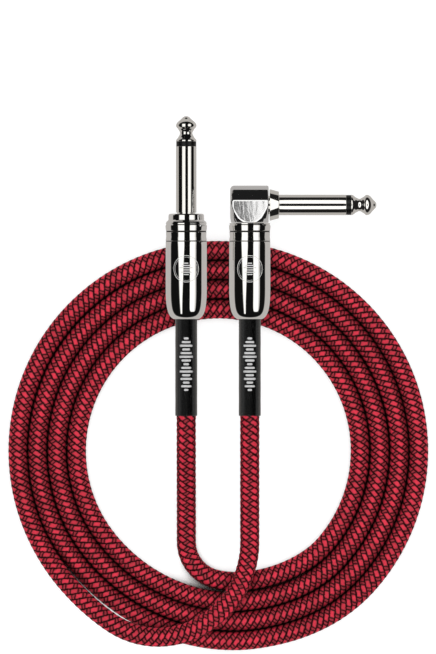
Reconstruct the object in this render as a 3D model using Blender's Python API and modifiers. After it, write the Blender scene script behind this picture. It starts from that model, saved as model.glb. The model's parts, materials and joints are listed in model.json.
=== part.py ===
"""Instrument cable: a coiled, braid-covered lead with a straight quarter-inch
plug on one end and a right-angle plug on the other.

The coil lies flat in the XY plane and the origin is the centre of the whole
object's footprint on the plane it rests on.  Both plug barrels and the straight
plug's tip point along +Y, the right-angle plug's tip along +X, and +Z is up.
Lengths are millimetres, measured from the coil's centre, and are multiplied by
MM where they reach Blender; COIL_Y moves everything to centre the footprint.
"""
import math

import bmesh
import bpy
from mathutils import Matrix, Vector

MM = 0.001

# ---------------------------------------------------------------- dimensions
COIL_Y = -21.2              # the coil's centre, from the centre of the footprint
CLEAR = 0.3                 # space kept between neighbouring pieces

# coil; angles are in degrees, anticlockwise from +X
CABLE_HALF = 2.9            # half width of the braided cable across its flats
COIL_R1 = 44.4              # centre line of the innermost turn
COIL_PITCH = 6.1            # spacing of neighbouring turns
COIL_LAST_TURN = 3          # index of the outermost turn
STEP_FROM, STEP_TO = 222.0, 280.0   # sector in which every turn steps outwards
FLATTEN = 3.0               # how far the -Y side of the coil is pressed in
FLATTEN_HALF = 48.0         # half angle of the pressed sector
COIL_START = -42.0          # angle at which the inner bend meets turn 0
COIL_END = 238.0            # angle at which the last turn leaves the coil
RAISE_FROM = 203.0          # angle at which the leaving strand starts to climb
STRAND_RAISE = 6.3          # climb of the strand that crosses over the others
STRAND_Z = CABLE_HALF + STRAND_RAISE
COIL_STEP = 22.5            # angle between path points where the turns are round
COIL_STEPS = range(-1, 10)  # multiples of COIL_STEP that get a path point
FINE_STEP = 12.0            # angle between path points where they step outwards
END_GAP = 5.0               # angle kept free of path points before COIL_END
INNER_BEND_R = 12.0         # first bend of the straight plug's tail
INNER_BEND_DEG = 75.0
INNER_BEND_N = 5            # path points round that bend
INNER_REACH = 11.0          # handles of the curve that leads it into turn 0
INNER_N = 5                 # path points on that curve
OUTER_REACH = 22.5          # handles of the curve from the last turn to the other tail
OUTER_N = 9                 # path points on that curve

# plugs
STRAIGHT_X = -10.0
ANGLE_X = 9.8
SHOULDER_Y = 74.06          # plane of both barrels' front shoulder
PLUG_Z = 12.75              # height of the plug axes over the resting plane
TAIL_LEVEL_FROM = 9.0       # y where the tails start to drop from the plug axis
TAIL_LEVEL_TO = -22.0       # y where they have reached the height of the coil
TAIL_DROP_N = 7             # path segments in the drop
FLEX_Y = -25.0              # where each tail bends when its plug is lifted
FLEX_GAP = 0.35             # space between the two halves at the bend
TAIL_END_Y = -28.5          # where the tails start to curve

# jack plug, along its own axis: 0 at the shoulder, positive towards the tip
SHAFT_R = 3.175
SHAFT_LEN = 21.1            # shoulder to the insulating ring
RING_LEN = 1.2
TIP_BACK = SHAFT_LEN + RING_LEN
TIP_END = 30.4
TIP_FACE_R = 0.95           # flat at the very end
NOSE_T = 29.45
NOSE_R = 1.45
BALL_T = 27.4
WAIST_T = 25.25
WAIST_R = 1.92
ROD_R = 0.8
ROD_HOLE_R = ROD_R + CLEAR
SPIGOT_R = 2.85             # rear part of the sleeve
SLEEVE_BORE = 2.25
SPIGOT_HOLE_R = SPIGOT_R + CLEAR

# straight plug: ends of the parts inside its barrel, along the jack axis
STRAIGHT_ROD_END = -17.6
STRAIGHT_SPIGOT_END = -14.3
STRAIGHT_TUBE_END = -13.5
SLEEVE_FRONT = 0.35         # step from shaft to spigot

# barrel, along the same axis: everything is behind the shoulder
COLLAR_LEN = 8.6
NECK_R = 4.95
NECK_END = 14.5
SHELL_R = 6.4
SHELL_DOME = 23.75          # where the shell starts to round off
SHELL_DOME_N = 6            # segments of the rounding
SHELL_END = 32.8
SHELL_MOUTH_R = 3.75
SHELL_LIP = 0.25            # length of the lip round the mouth
SHELL_WALL = 0.75
LINER_R, LINER_WALL = 5.15, 0.3
LINER_FROM, LINER_TO = 16.0, 26.5
BOOT_R, BOOT_WALL = 3.45, 0.25
BOOT_FROM, BOOT_TO = 29.0, 63.0

# brass contacts
SHEET = 0.4                 # thickness of all of them
EYE_R = 2.1                 # eye round the rod
EYE_BACK = -16.95           # rear face of the straight plug's eye
STRIP_OFFSET = 1.35         # strip's inner face, from the barrel axis
STRIP_HALF = 0.8            # half width of the strip
STRIP_END = -21.6
WASHER_R, WASHER_HOLE_R = 4.4, 2.75
TONGUE_HALF = 1.3           # half width of the ground lug's tongue
TONGUE_FROM, TONGUE_TO = -14.9, -27.0
CRADLE_R = 3.15             # middle of the cradle's sheet
CRADLE_FROM, CRADLE_TO = -25.2, -26.8
CRADLE_DEG = 230
CRADLE_N = 10

# solder beads: (place, inner radius, outer radius, half length)
TIP_BEAD = (-19.9, 0.7, 1.05, 0.9)
GROUND_BEAD = (-23.7, 1.92, 2.55, 0.6)

# right-angle head
HEAD_HALF = 6.0             # half width along the shaft
HEAD_R = 6.2                # radius of the rounded +Y end and half depth
HEAD_ARC_N = 12             # segments of the rounding
HEAD_AXIS = 2.72            # shaft axis, ahead of the shoulder plane
HEAD_FOOT = -2.8            # face of the head next to the collar
HUB_FROM, HUB_TO = 6.2, 9.07    # hub of the shaft, from the barrel axis
HUB_R1, HUB_R2 = 4.95, 4.16
TO_BARREL = -HUB_TO         # barrel axis measured along the shaft axis
ANGLE_ROD_END = TO_BARREL + 0.6
ANGLE_SPIGOT_END = TO_BARREL + 4.0
ANGLE_TUBE_END = TO_BARREL + 3.4
WELL_FROM, WELL_TO, WELL_R = 5.6, -6.0, 3.6     # hollow along the barrel axis
BUSH_FROM, BUSH_TO = -9.0, -14.2                # rear insulator
SLOT_FROM, SLOT_TO = -7.0, -16.0                # slot for the strip in it

# cable layers: name, outer radius across the corners, wall (None when solid),
# sides, look, and how far behind the shoulder the layer is cut inside a plug
BRAID_R = 2.88
LAYERS = [
    ("braid", BRAID_R, 0.30, 8, "braid", 27.4),
    ("jacket", 2.28, 0.40, 6, "jacket", 24.8),
    ("shield", 1.56, 0.22, 6, "copper", 23.0),
    ("insulation", 0.9, 0.2, 4, "insulation", 21.2),
    ("conductor", 0.36, None, 4, "copper", 19.4),
]

# ---------------------------------------------------------------- start clean
for old in list(bpy.data.objects):
    bpy.data.objects.remove(old, do_unlink=True)

parts = bpy.data.collections.new("instrument_cable")
cutters = bpy.data.collections.new("cutters")
bpy.context.scene.collection.children.link(parts)
bpy.context.scene.collection.children.link(cutters)

# ---------------------------------------------------------------- materials
LOOKS = {
    "braid": dict(colour=(0.42, 0.02, 0.05), roughness=0.75),
    "jacket": dict(colour=(0.02, 0.02, 0.02), roughness=0.5),
    "copper": dict(colour=(0.72, 0.36, 0.18), roughness=0.35, metallic=1.0),
    "insulation": dict(colour=(0.85, 0.83, 0.78), roughness=0.4),
    "nickel": dict(colour=(0.72, 0.71, 0.69), roughness=0.15, metallic=1.0),
    "black_chrome": dict(colour=(0.35, 0.35, 0.36), roughness=0.1, metallic=1.0),
    "black_plastic": dict(colour=(0.012, 0.012, 0.012), roughness=0.35),
    "boot": dict(colour=(0.015, 0.015, 0.016), roughness=0.4),
    "liner": dict(colour=(0.75, 0.74, 0.7), roughness=0.5),
    "brass": dict(colour=(0.78, 0.6, 0.3), roughness=0.3, metallic=1.0),
    "solder": dict(colour=(0.6, 0.6, 0.61), roughness=0.35, metallic=1.0),
}
CRISP_ANGLE = math.radians(35)      # edges sharper than this stay crisp


def material(name, colour, roughness, metallic=0.0):
    mat = bpy.data.materials.new(name)
    mat.use_nodes = True
    shader = mat.node_tree.nodes["Principled BSDF"]
    shader.inputs["Base Color"].default_value = (*colour, 1.0)
    shader.inputs["Roughness"].default_value = roughness
    shader.inputs["Metallic"].default_value = metallic
    mat.diffuse_color = (*colour, 1.0)
    return mat


def finish(ob, look):
    """Gives a piece its own material and smooth shading with crisp edges."""
    ob.data.materials.clear()
    ob.data.materials.append(material(ob.name + "_" + look, **LOOKS[look]))
    if ob.type == "MESH":
        ob.data.shade_smooth()
        ob.data.set_sharp_from_angle(angle=CRISP_ANGLE)


# ---------------------------------------------------------------- objects
def new_object(name, data, collection=parts, parent=None):
    ob = bpy.data.objects.new(name, data)
    collection.objects.link(ob)
    ob.parent = parent
    return ob


def axis_empty(name, location, rotation, parent=None):
    ob = new_object(name, None, parent=parent)
    ob.empty_display_size = 5 * MM
    ob.location = [v * MM for v in location]
    ob.rotation_euler = rotation
    return ob


def evaluated_mesh(ob):
    """A new mesh of the object as its modifiers or curve settings shape it."""
    bpy.context.view_layer.update()
    graph = bpy.context.evaluated_depsgraph_get()
    return bpy.data.meshes.new_from_object(ob.evaluated_get(graph), depsgraph=graph)


def settled(ob):
    """Applies a piece's modifiers, so that it can be cut or joined."""
    mesh = evaluated_mesh(ob)
    ob.modifiers.clear()
    ob.data = mesh
    mesh.name = ob.name
    return ob


def boolean(ob, other, operation):
    mod = ob.modifiers.new(operation.lower(), "BOOLEAN")
    mod.operation = operation
    mod.solver = "EXACT"
    mod.object = other


def cut(ob, cutter, operation="DIFFERENCE"):
    """Cuts a piece with a helper that stays in the scene, hidden in renders."""
    cutter.hide_render = True
    cutter.display_type = "WIRE"
    boolean(ob, cutter, operation)


def join(ob, other):
    """Unites a second shape with a piece and removes the second one."""
    boolean(ob, other, "UNION")
    settled(ob)
    bpy.data.objects.remove(other, do_unlink=True)


def block(name, low, high, parent):
    """A helper box between two corners."""
    bpy.ops.mesh.primitive_cube_add(size=1.0)
    ob = bpy.context.active_object
    ob.name = name
    ob.data.name = name
    size = [(b - a) * MM for a, b in zip(low, high)]
    middle = [(a + b) / 2 * MM for a, b in zip(low, high)]
    ob.data.transform(Matrix.Translation(middle) @ Matrix.Diagonal((*size, 1.0)))
    for collection in list(ob.users_collection):
        collection.objects.unlink(ob)
    cutters.objects.link(ob)
    ob.parent = parent
    return ob


# ---------------------------------------------------------------- turned shapes
def turned(name, profile, parent, collection=parts, steps=20, closed=False):
    """A piece turned about its local Z axis from (z, radius) pairs.

    The profile runs down the outside from the tip end to the cable end and,
    for a hollow piece, back up the inside (closed=True joins its two ends).
    """
    mesh = bpy.data.meshes.new(name)
    verts = [(r * MM, 0.0, z * MM) for z, r in profile]
    edges = [(i, i + 1) for i in range(len(verts) - 1)]
    if closed:
        edges.append((len(verts) - 1, 0))
    mesh.from_pydata(verts, edges, [])
    ob = new_object(name, mesh, collection, parent)
    screw = ob.modifiers.new("turn", "SCREW")
    screw.axis = "Z"
    screw.angle = math.tau
    screw.steps = steps
    screw.render_steps = steps
    screw.use_merge_vertices = True
    screw.merge_threshold = 0.000005
    screw.use_smooth_shade = True
    return ob


def hollow(name, profile, parent, look, steps=20):
    """A finished hollow turned piece."""
    finish(turned(name, profile, parent, steps=steps, closed=True), look)


def ring(z_top, z_bottom, r_out, r_in):
    """Profile of a plain ring or tube."""
    return [(z_top, r_out), (z_bottom, r_out), (z_bottom, r_in), (z_top, r_in)]


def arc(z0, r0, z1, r1, bulge, n):
    """n points after (z0, r0) up to (z1, r1) on a curve that swells by bulge."""
    points = []
    for i in range(1, n + 1):
        t = i / n
        points.append((z0 + (z1 - z0) * t, r0 + (r1 - r0) * t + bulge * 4 * t * (1 - t)))
    return points


# ---------------------------------------------------------------- jack plug
def make_tip(name, rod_end, parent):
    """Contact tip: nose, ball, waist and flare, then the thin centre rod."""
    shoulder = (NOSE_T - 0.05, 1.62)
    waist_back = (WAIST_T - 0.35, WAIST_R)
    flare_back = TIP_BACK + 0.15
    profile = [
        (TIP_END, 0.0),
        (TIP_END, TIP_FACE_R),
        (NOSE_T, NOSE_R),
        shoulder,
        *arc(*shoulder, BALL_T, SHAFT_R, 0.22, 3),
        *arc(BALL_T, SHAFT_R, WAIST_T + 0.45, WAIST_R + 0.12, 0.18, 3),
        (WAIST_T + 0.2, WAIST_R),
        waist_back,
        *arc(*waist_back, TIP_BACK + 0.75, SHAFT_R - 0.06, 0.02, 2),
        (TIP_BACK + 0.5, SHAFT_R),
        (flare_back, SHAFT_R),
        (flare_back, ROD_R),
        (rod_end, ROD_R),
        (rod_end, 0.0),
    ]
    finish(turned(name, profile, parent), "nickel")


def make_front_insulators(prefix, tube_end, parent):
    """Black ring between tip and sleeve, and the tube that lines the shaft."""
    tip_ring = ring(TIP_BACK - 0.15, SHAFT_LEN + 0.15, SHAFT_R - 0.02, ROD_HOLE_R)
    hollow(prefix + "_tip_ring", tip_ring, parent, "black_plastic")
    tube = ring(SHAFT_LEN - 0.2, tube_end, SLEEVE_BORE - CLEAR, ROD_HOLE_R)
    hollow(prefix + "_core_insulator", tube, parent, "black_plastic", steps=12)


def make_sleeve(name, base, spigot_end, parent):
    """Shaft and spigot; base lists the points between the two."""
    profile = [
        (SHAFT_LEN, SHAFT_R),
        *base,
        (base[-1][0], SPIGOT_R),
        (spigot_end, SPIGOT_R),
        (spigot_end, SLEEVE_BORE),
        (SHAFT_LEN, SLEEVE_BORE),
    ]
    hollow(name, profile, parent, "nickel")


# ---------------------------------------------------------------- barrel
def make_collar(name, front, parent):
    """Grip ring and neck; front lists the points ahead of the ring."""
    profile = [
        *front,
        (-3.5, 6.45), (-4.1, 6.45), (-4.7, 6.36), (-5.3, 6.22),
        (-7.2, 6.22), (-7.7, 6.33), (-COLLAR_LEN + 0.2, 6.4), (-COLLAR_LEN, 6.3),
        (-COLLAR_LEN, NECK_R),
        (-NECK_END, NECK_R),
        (-NECK_END, SPIGOT_HOLE_R),
        (front[0][0], SPIGOT_HOLE_R),
    ]
    hollow(name, profile, parent, "black_chrome")


def make_contact(name, eye_axis, eye_back, barrel_axis, low, high):
    """An eye round the rod and a strip, between two corners, along the barrel."""
    eye = ring(eye_back + SHEET, eye_back, EYE_R, ROD_HOLE_R)
    contact = settled(turned(name, eye, eye_axis, steps=16, closed=True))
    join(contact, block("cut_" + name, low, high, barrel_axis))
    finish(contact, "brass")


def make_cradle(name, parent):
    """A sheet bent round the jacket, open on the side of local +Y (world -Z)."""
    span = math.radians(CRADLE_DEG)
    verts = []
    for i in range(CRADLE_N + 1):
        a = -math.pi / 2 - span / 2 + span * i / CRADLE_N
        for z in (CRADLE_FROM, CRADLE_TO):
            verts.append((CRADLE_R * MM * math.cos(a), CRADLE_R * MM * math.sin(a), z * MM))
    faces = [(2 * i, 2 * i + 2, 2 * i + 3, 2 * i + 1) for i in range(CRADLE_N)]
    mesh = bpy.data.meshes.new(name)
    mesh.from_pydata(verts, [], faces)
    cradle = new_object(name, mesh, cutters, parent)
    thick = cradle.modifiers.new("sheet", "SOLIDIFY")
    thick.thickness = SHEET * MM
    thick.offset = 0.0
    return settled(cradle)


def make_ground_lug(name, parent):
    """Washer behind the neck, tongue and cable cradle in one piece of sheet."""
    front = -NECK_END - CLEAR
    washer = ring(front, front - SHEET, WASHER_R, WASHER_HOLE_R)
    lug = settled(turned(name, washer, parent, closed=True))
    tongue = block(
        "cut_" + name + "_tongue",
        (-TONGUE_HALF, -CRADLE_R - SHEET / 2, TONGUE_TO),
        (TONGUE_HALF, -CRADLE_R + SHEET / 2, TONGUE_FROM),
        parent,
    )
    cradle = make_cradle("cut_" + name + "_cradle", parent)
    join(lug, tongue)
    join(lug, cradle)
    finish(lug, "brass")


def make_solder_bead(name, bead, parent):
    """A barrel-shaped bead of solder round a wire end."""
    z, r_in, r_out, half = bead
    profile = [
        (z + half, r_in + 0.1),
        (z + half * 0.6, r_out * 0.92),
        (z, r_out),
        (z - half * 0.6, r_out * 0.92),
        (z - half, r_in + 0.1),
        (z - half, r_in),
        (z + half, r_in),
    ]
    hollow(name, profile, parent, "solder", steps=12)


def make_liner(name, parent):
    hollow(name, ring(-LINER_FROM, -LINER_TO, LINER_R, LINER_R - LINER_WALL), parent, "liner")


def shell_dome():
    """Outside of the shell from where it starts to round off to its mouth."""
    r_end = SHELL_MOUTH_R + 0.1
    points = []
    for i in range(SHELL_DOME_N + 1):
        s = 1 - (1 - i / SHELL_DOME_N) ** 1.6     # points crowd towards the mouth
        r = r_end + (SHELL_R - r_end) * math.sqrt(1 - s**2.5)
        points.append((-(SHELL_DOME + (SHELL_END - SHELL_DOME) * s), r))
    return points


def make_shell(name, parent):
    top = -(COLLAR_LEN + CLEAR)
    lip = -SHELL_END - SHELL_LIP
    dome = shell_dome()
    profile = [
        (top, SHELL_R - 0.12),
        (top - 0.15, SHELL_R),
        *dome,
        (lip, SHELL_MOUTH_R + 0.02 + SHELL_LIP),
        (lip, SHELL_MOUTH_R),
        (-SHELL_END + 0.4, SHELL_MOUTH_R),
        # the inside follows the dome, apart from its start and the steep end
        *[(z, r - SHELL_WALL) for z, r in reversed(dome[1:-2])],
        (-NECK_END - 1.2, SHELL_R - SHELL_WALL),
        (-NECK_END - 0.7, NECK_R + CLEAR),
        (top, NECK_R + CLEAR),
    ]
    hollow(name, profile, parent, "black_chrome")


def make_boot(name, parent):
    profile = [
        (-BOOT_FROM, BOOT_R),
        (-BOOT_TO + 0.3, BOOT_R),
        (-BOOT_TO, BOOT_R - 0.1),
        (-BOOT_TO, BOOT_R - BOOT_WALL),
        (-BOOT_FROM, BOOT_R - BOOT_WALL),
    ]
    hollow(name, profile, parent, "boot")


def make_barrel_fittings(prefix, axis):
    """What both barrels have in common behind their collars."""
    make_ground_lug(prefix + "_ground_lug", axis)
    make_solder_bead(prefix + "_tip_solder", TIP_BEAD, axis)
    make_solder_bead(prefix + "_ground_solder", GROUND_BEAD, axis)
    make_liner(prefix + "_liner", axis)
    make_shell(prefix + "_shell", axis)
    make_boot(prefix + "_boot", axis)


# ---------------------------------------------------------------- straight plug
def make_straight_plug(axis):
    """The sleeve's spigot passes through the collar."""
    make_tip("straight_tip", STRAIGHT_ROD_END, axis)
    make_front_insulators("straight", STRAIGHT_TUBE_END, axis)
    make_sleeve("straight_sleeve", [(SLEEVE_FRONT, SHAFT_R)], STRAIGHT_SPIGOT_END, axis)
    front = [(0.0, 5.2), (-0.35, 5.5), (-2.0, 5.56), (-2.5, 6.15), (-2.95, 6.33)]
    make_collar("straight_collar", front, axis)
    insulator = ring(-NECK_END - CLEAR, -16.2, 2.4, ROD_HOLE_R)
    hollow("straight_rear_insulator", insulator, axis, "black_plastic", steps=16)
    make_contact(
        "straight_tip_lug", axis, EYE_BACK, axis,
        low=(-STRIP_HALF, STRIP_OFFSET, STRIP_END),
        high=(STRIP_HALF, STRIP_OFFSET + SHEET, -16.7),
    )
    make_barrel_fittings("straight", axis)


# ---------------------------------------------------------------- right-angle plug
def head_outline():
    """The head before cutting: a block with one rounded end.

    Its local X is world -Z and its local Y world Y; it is extruded along world X.
    """
    foot = HEAD_FOOT - HEAD_AXIS
    points = [(-HEAD_R, foot), (HEAD_R, foot)]
    for i in range(HEAD_ARC_N + 1):
        a = math.pi * i / HEAD_ARC_N
        points.append((HEAD_R * math.cos(a), HEAD_R * math.sin(a)))
    outline = bpy.data.curves.new("angle_head_outline", "CURVE")
    outline.dimensions = "2D"
    outline.fill_mode = "BOTH"
    outline.extrude = HEAD_HALF * MM
    spline = outline.splines.new("POLY")
    spline.points.add(len(points) - 1)
    for point, (x, y) in zip(spline.points, points):
        point.co = (x * MM, y * MM, 0.0, 1.0)
    spline.use_cyclic_u = True
    return outline


def make_head(head_axis, barrel_axis, shaft_axis):
    outline = new_object("angle_head_outline", head_outline(), parent=head_axis)
    mesh = evaluated_mesh(outline)
    world = outline.matrix_world.copy()
    bpy.data.objects.remove(outline, do_unlink=True)
    # the caps and sides come apart from the curve and are welded here
    bm = bmesh.new()
    bm.from_mesh(mesh)
    bmesh.ops.remove_doubles(bm, verts=bm.verts, dist=0.000002)
    bmesh.ops.recalc_face_normals(bm, faces=bm.faces)
    bm.to_mesh(mesh)
    bm.free()
    head = new_object("angle_head", mesh)
    head.matrix_world = world

    # the envelope narrows the head towards the collar
    envelope = [
        (14.0, 0.0), (14.0, 9.2), (4.4, 9.2), (HEAD_FOOT + 1.2, 7.05),
        (HEAD_FOOT, 6.33), (HEAD_FOOT - 1.0, 5.8), (HEAD_FOOT - 1.0, 0.0),
    ]
    well = [(WELL_FROM, 0.0), (WELL_FROM, WELL_R), (WELL_TO, WELL_R), (WELL_TO, 0.0)]
    bore = [(2.0, 0.0), (2.0, SPIGOT_HOLE_R), (TO_BARREL, SPIGOT_HOLE_R), (TO_BARREL, 0.0)]
    for name, profile, axis, steps, operation in (
        ("cut_head_envelope", envelope, barrel_axis, 32, "INTERSECT"),
        ("cut_head_well", well, barrel_axis, 20, "DIFFERENCE"),
        ("cut_head_bore", bore, shaft_axis, 24, "DIFFERENCE"),
    ):
        cutter = settled(turned(name, profile, axis, cutters, steps))
        cut(head, cutter, operation)
    settled(head)
    finish(head, "nickel")


def make_angle_rear_insulator(axis):
    """Plug in the collar, slotted for the contact strip."""
    profile = [(BUSH_FROM, 0.0), (BUSH_FROM, SPIGOT_R), (BUSH_TO, SPIGOT_R), (BUSH_TO, 0.0)]
    bush = settled(turned("angle_rear_insulator", profile, axis, steps=16))
    slot = block(
        "cut_bush_slot",
        (STRIP_OFFSET - CLEAR, -STRIP_HALF - CLEAR, SLOT_TO),
        (STRIP_OFFSET + SHEET + CLEAR, STRIP_HALF + CLEAR, SLOT_FROM),
        axis,
    )
    cut(bush, slot)
    settled(bush)
    finish(bush, "black_plastic")


def make_angle_plug(barrel_axis, shaft_axis, head_axis):
    """The shaft has a hub, and its spigot enters the head."""
    make_tip("angle_tip", ANGLE_ROD_END, shaft_axis)
    make_front_insulators("angle", ANGLE_TUBE_END, shaft_axis)
    hub = [(0.0, SHAFT_R), (0.0, HUB_R2), (HUB_FROM - HUB_TO, HUB_R1)]
    make_sleeve("angle_sleeve", hub, ANGLE_SPIGOT_END, shaft_axis)
    make_head(head_axis, barrel_axis, shaft_axis)
    make_collar("angle_collar", [(HEAD_FOOT - CLEAR, 6.25)], barrel_axis)
    make_contact(
        "angle_tip_link", shaft_axis, TO_BARREL + STRIP_OFFSET, barrel_axis,
        low=(STRIP_OFFSET, -STRIP_HALF, STRIP_END),
        high=(STRIP_OFFSET + SHEET, STRIP_HALF, HEAD_AXIS - 1.4),
    )
    make_angle_rear_insulator(barrel_axis)
    make_barrel_fittings("angle", barrel_axis)


# ---------------------------------------------------------------- cable path
def smooth(t):
    """Eases from 0 to 1 and stays level outside."""
    t = min(1.0, max(0.0, t))
    return t * t * (3 - 2 * t)


def coil_radius(angle):
    """Centre-line radius at a running angle in degrees; a turn is 360."""
    turn = math.floor((angle + 360 - STEP_TO) / 360)
    local = angle - 360 * turn
    r = COIL_R1 + COIL_PITCH * (turn + smooth((local - STEP_FROM) / (STEP_TO - STEP_FROM)))
    off = abs((local if local > 90 else local + 360) - 270)     # from the -Y direction
    if off < FLATTEN_HALF:
        r -= FLATTEN * math.cos(math.radians(90 * off / FLATTEN_HALF)) ** 2
    return r


def on_coil(angle):
    last = 360.0 * COIL_LAST_TURN
    z = CABLE_HALF + STRAND_RAISE * smooth((angle - last - RAISE_FROM) / (COIL_END - RAISE_FROM))
    a = math.radians(angle)
    r = coil_radius(angle)
    return Vector((r * math.cos(a), r * math.sin(a), z))


def heading(angle):
    """Level direction of the coil at a running angle."""
    way = on_coil(angle + 0.01) - on_coil(angle - 0.01)
    way.z = 0
    return way.normalized()


def bend(start, start_handle, end_handle, end, n):
    """n points after start up to end on a cubic curve."""
    points = []
    for i in range(1, n + 1):
        t = i / n
        points.append(
            start * (1 - t) ** 3
            + start_handle * (3 * (1 - t) ** 2 * t)
            + end_handle * (3 * (1 - t) * t * t)
            + end * t**3
        )
    return points


def inner_lead():
    """From the straight plug's tail, round the inner bend, to turn 0."""
    start = Vector((STRAIGHT_X, FLEX_Y - FLEX_GAP / 2, CABLE_HALF))
    points = [start, Vector((STRAIGHT_X, TAIL_END_Y, CABLE_HALF))]
    centre = Vector((STRAIGHT_X + INNER_BEND_R, TAIL_END_Y, CABLE_HALF))
    for i in range(1, INNER_BEND_N + 1):
        a = math.pi + math.radians(INNER_BEND_DEG) * i / INNER_BEND_N
        points.append(centre + INNER_BEND_R * Vector((math.cos(a), math.sin(a), 0)))
    way = Vector((-math.sin(a), math.cos(a), 0))
    leave = points[-1]
    meet = on_coil(COIL_START)
    meet_handle = meet - heading(COIL_START) * INNER_REACH
    return points + bend(leave, leave + way * INNER_REACH, meet_handle, meet, INNER_N)


def outer_lead(end):
    """From the last turn, across the others, to the angle plug's tail."""
    leave = on_coil(end)
    arrive = Vector((ANGLE_X, TAIL_END_Y, STRAND_Z))
    leave_handle = leave + heading(end) * OUTER_REACH
    arrive_handle = arrive - Vector((0, OUTER_REACH, 0))
    return [
        leave,
        *bend(leave, leave_handle, arrive_handle, arrive, OUTER_N),
        Vector((ANGLE_X, FLEX_Y - FLEX_GAP / 2, STRAND_Z)),
    ]


def coil_path():
    """The whole coil, from the straight plug's bend to the angle plug's."""
    end = 360.0 * COIL_LAST_TURN + COIL_END
    fine_n = round((360 + COIL_START - STEP_FROM) / FINE_STEP)
    angles = [COIL_STEP * i for i in COIL_STEPS]
    angles += [STEP_FROM + FINE_STEP * i for i in range(fine_n + 1)]
    points = inner_lead()
    for turn in range(COIL_LAST_TURN + 1):
        running = [360.0 * turn + a for a in angles]
        points += [on_coil(a) for a in running if a < end - END_GAP]
    return points + outer_lead(end)


def tail_path(x, low, cut_back):
    """A tail from its cut end in the plug to the bend, dropping to height low."""
    drop = TAIL_LEVEL_TO - TAIL_LEVEL_FROM
    ys = [SHOULDER_Y - cut_back]
    ys += [TAIL_LEVEL_FROM + drop * i / TAIL_DROP_N for i in range(TAIL_DROP_N + 1)]
    ys.append(FLEX_Y + FLEX_GAP / 2)
    return [
        Vector((x, y, low + (PLUG_Z - low) * smooth((y - TAIL_LEVEL_TO) / -drop)))
        for y in ys
    ]


# ---------------------------------------------------------------- cable
def wire_curve(name, points, radius, sides, capped, parent):
    curve = bpy.data.curves.new(name, "CURVE")
    curve.dimensions = "3D"
    curve.twist_mode = "Z_UP"
    curve.bevel_depth = radius * MM
    curve.bevel_resolution = (sides - 4) // 2
    curve.use_fill_caps = capped
    line = curve.splines.new("POLY")
    line.points.add(len(points) - 1)
    for point, place in zip(line.points, points):
        point.co = (*(place * MM), 1.0)
        point.tilt = math.pi / sides
    return new_object(name, curve, parent=parent)


def hollow_wire(name, points, radius, wall, sides, parent):
    """An open swept skin, thickened inwards into a tube."""
    guide = wire_curve(name, points, radius, sides, False, parent)
    mesh = evaluated_mesh(guide)
    bpy.data.objects.remove(guide, do_unlink=True)
    mesh.name = name
    ob = new_object(name, mesh, parent=parent)
    solidify = ob.modifiers.new("wall", "SOLIDIFY")
    solidify.thickness = wall * MM
    solidify.offset = -1.0
    solidify.use_rim = True
    solidify.use_even_offset = True
    return ob


def make_cable(prefix, path_of, braid_r, parent):
    """The layers of the cable, each a separate piece; path_of takes the cut."""
    for layer, radius, wall, sides, look, cut_back in LAYERS:
        name = prefix + "_" + layer
        points = path_of(cut_back)
        if layer == "braid":
            wall = wall * braid_r / radius
            radius = braid_r
        if wall is None:
            ob = wire_curve(name, points, radius, sides, True, parent)
        else:
            ob = hollow_wire(name, points, radius, wall, sides, parent)
        finish(ob, look)


# ---------------------------------------------------------------- build
LEVEL = (0.0, 0.0, 0.0)
TOWARDS_Y = (-math.pi / 2, 0.0, 0.0)    # local Z along world Y, local Y along world -Z
TOWARDS_X = (0.0, math.pi / 2, 0.0)     # local Z along world X, local X along world -Z
SHAFT_Y = SHOULDER_Y + HEAD_AXIS

coil_centre = axis_empty("coil_centre", (0.0, COIL_Y, 0.0), LEVEL)
straight_barrel, angle_barrel, angle_shaft, angle_head = [
    axis_empty(name, (x, y, PLUG_Z), rotation, coil_centre)
    for name, x, y, rotation in (
        ("straight_plug_axis", STRAIGHT_X, SHOULDER_Y, TOWARDS_Y),
        ("angle_plug_axis", ANGLE_X, SHOULDER_Y, TOWARDS_Y),
        ("angle_shaft_axis", ANGLE_X + HUB_TO, SHAFT_Y, TOWARDS_X),
        ("angle_head_axis", ANGLE_X, SHAFT_Y, TOWARDS_X),
    )
]

make_straight_plug(straight_barrel)
make_angle_plug(angle_barrel, angle_shaft, angle_head)

whole_coil = coil_path()
# the coil's braid is sized across its flats, so that it rests on the plane
make_cable("coil", lambda _: whole_coil, CABLE_HALF / math.cos(math.pi / 8), coil_centre)
for prefix, x, low in (
    ("straight_tail", STRAIGHT_X, CABLE_HALF),
    ("angle_tail", ANGLE_X, STRAND_Z),
):
    make_cable(prefix, lambda cut_back: tail_path(x, low, cut_back), BRAID_R, coil_centre)
bpy.context.view_layer.update()
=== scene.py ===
"""Instrument cable: the visual model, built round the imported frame.

All working lengths are millimetres in the coil's own frame (the coil's centre
is x = y = 0); W() turns them into metres in the row frame.
"""

import json
import math

import bmesh
import bpy
import numpy as np
from mathutils import Matrix, Vector

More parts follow.
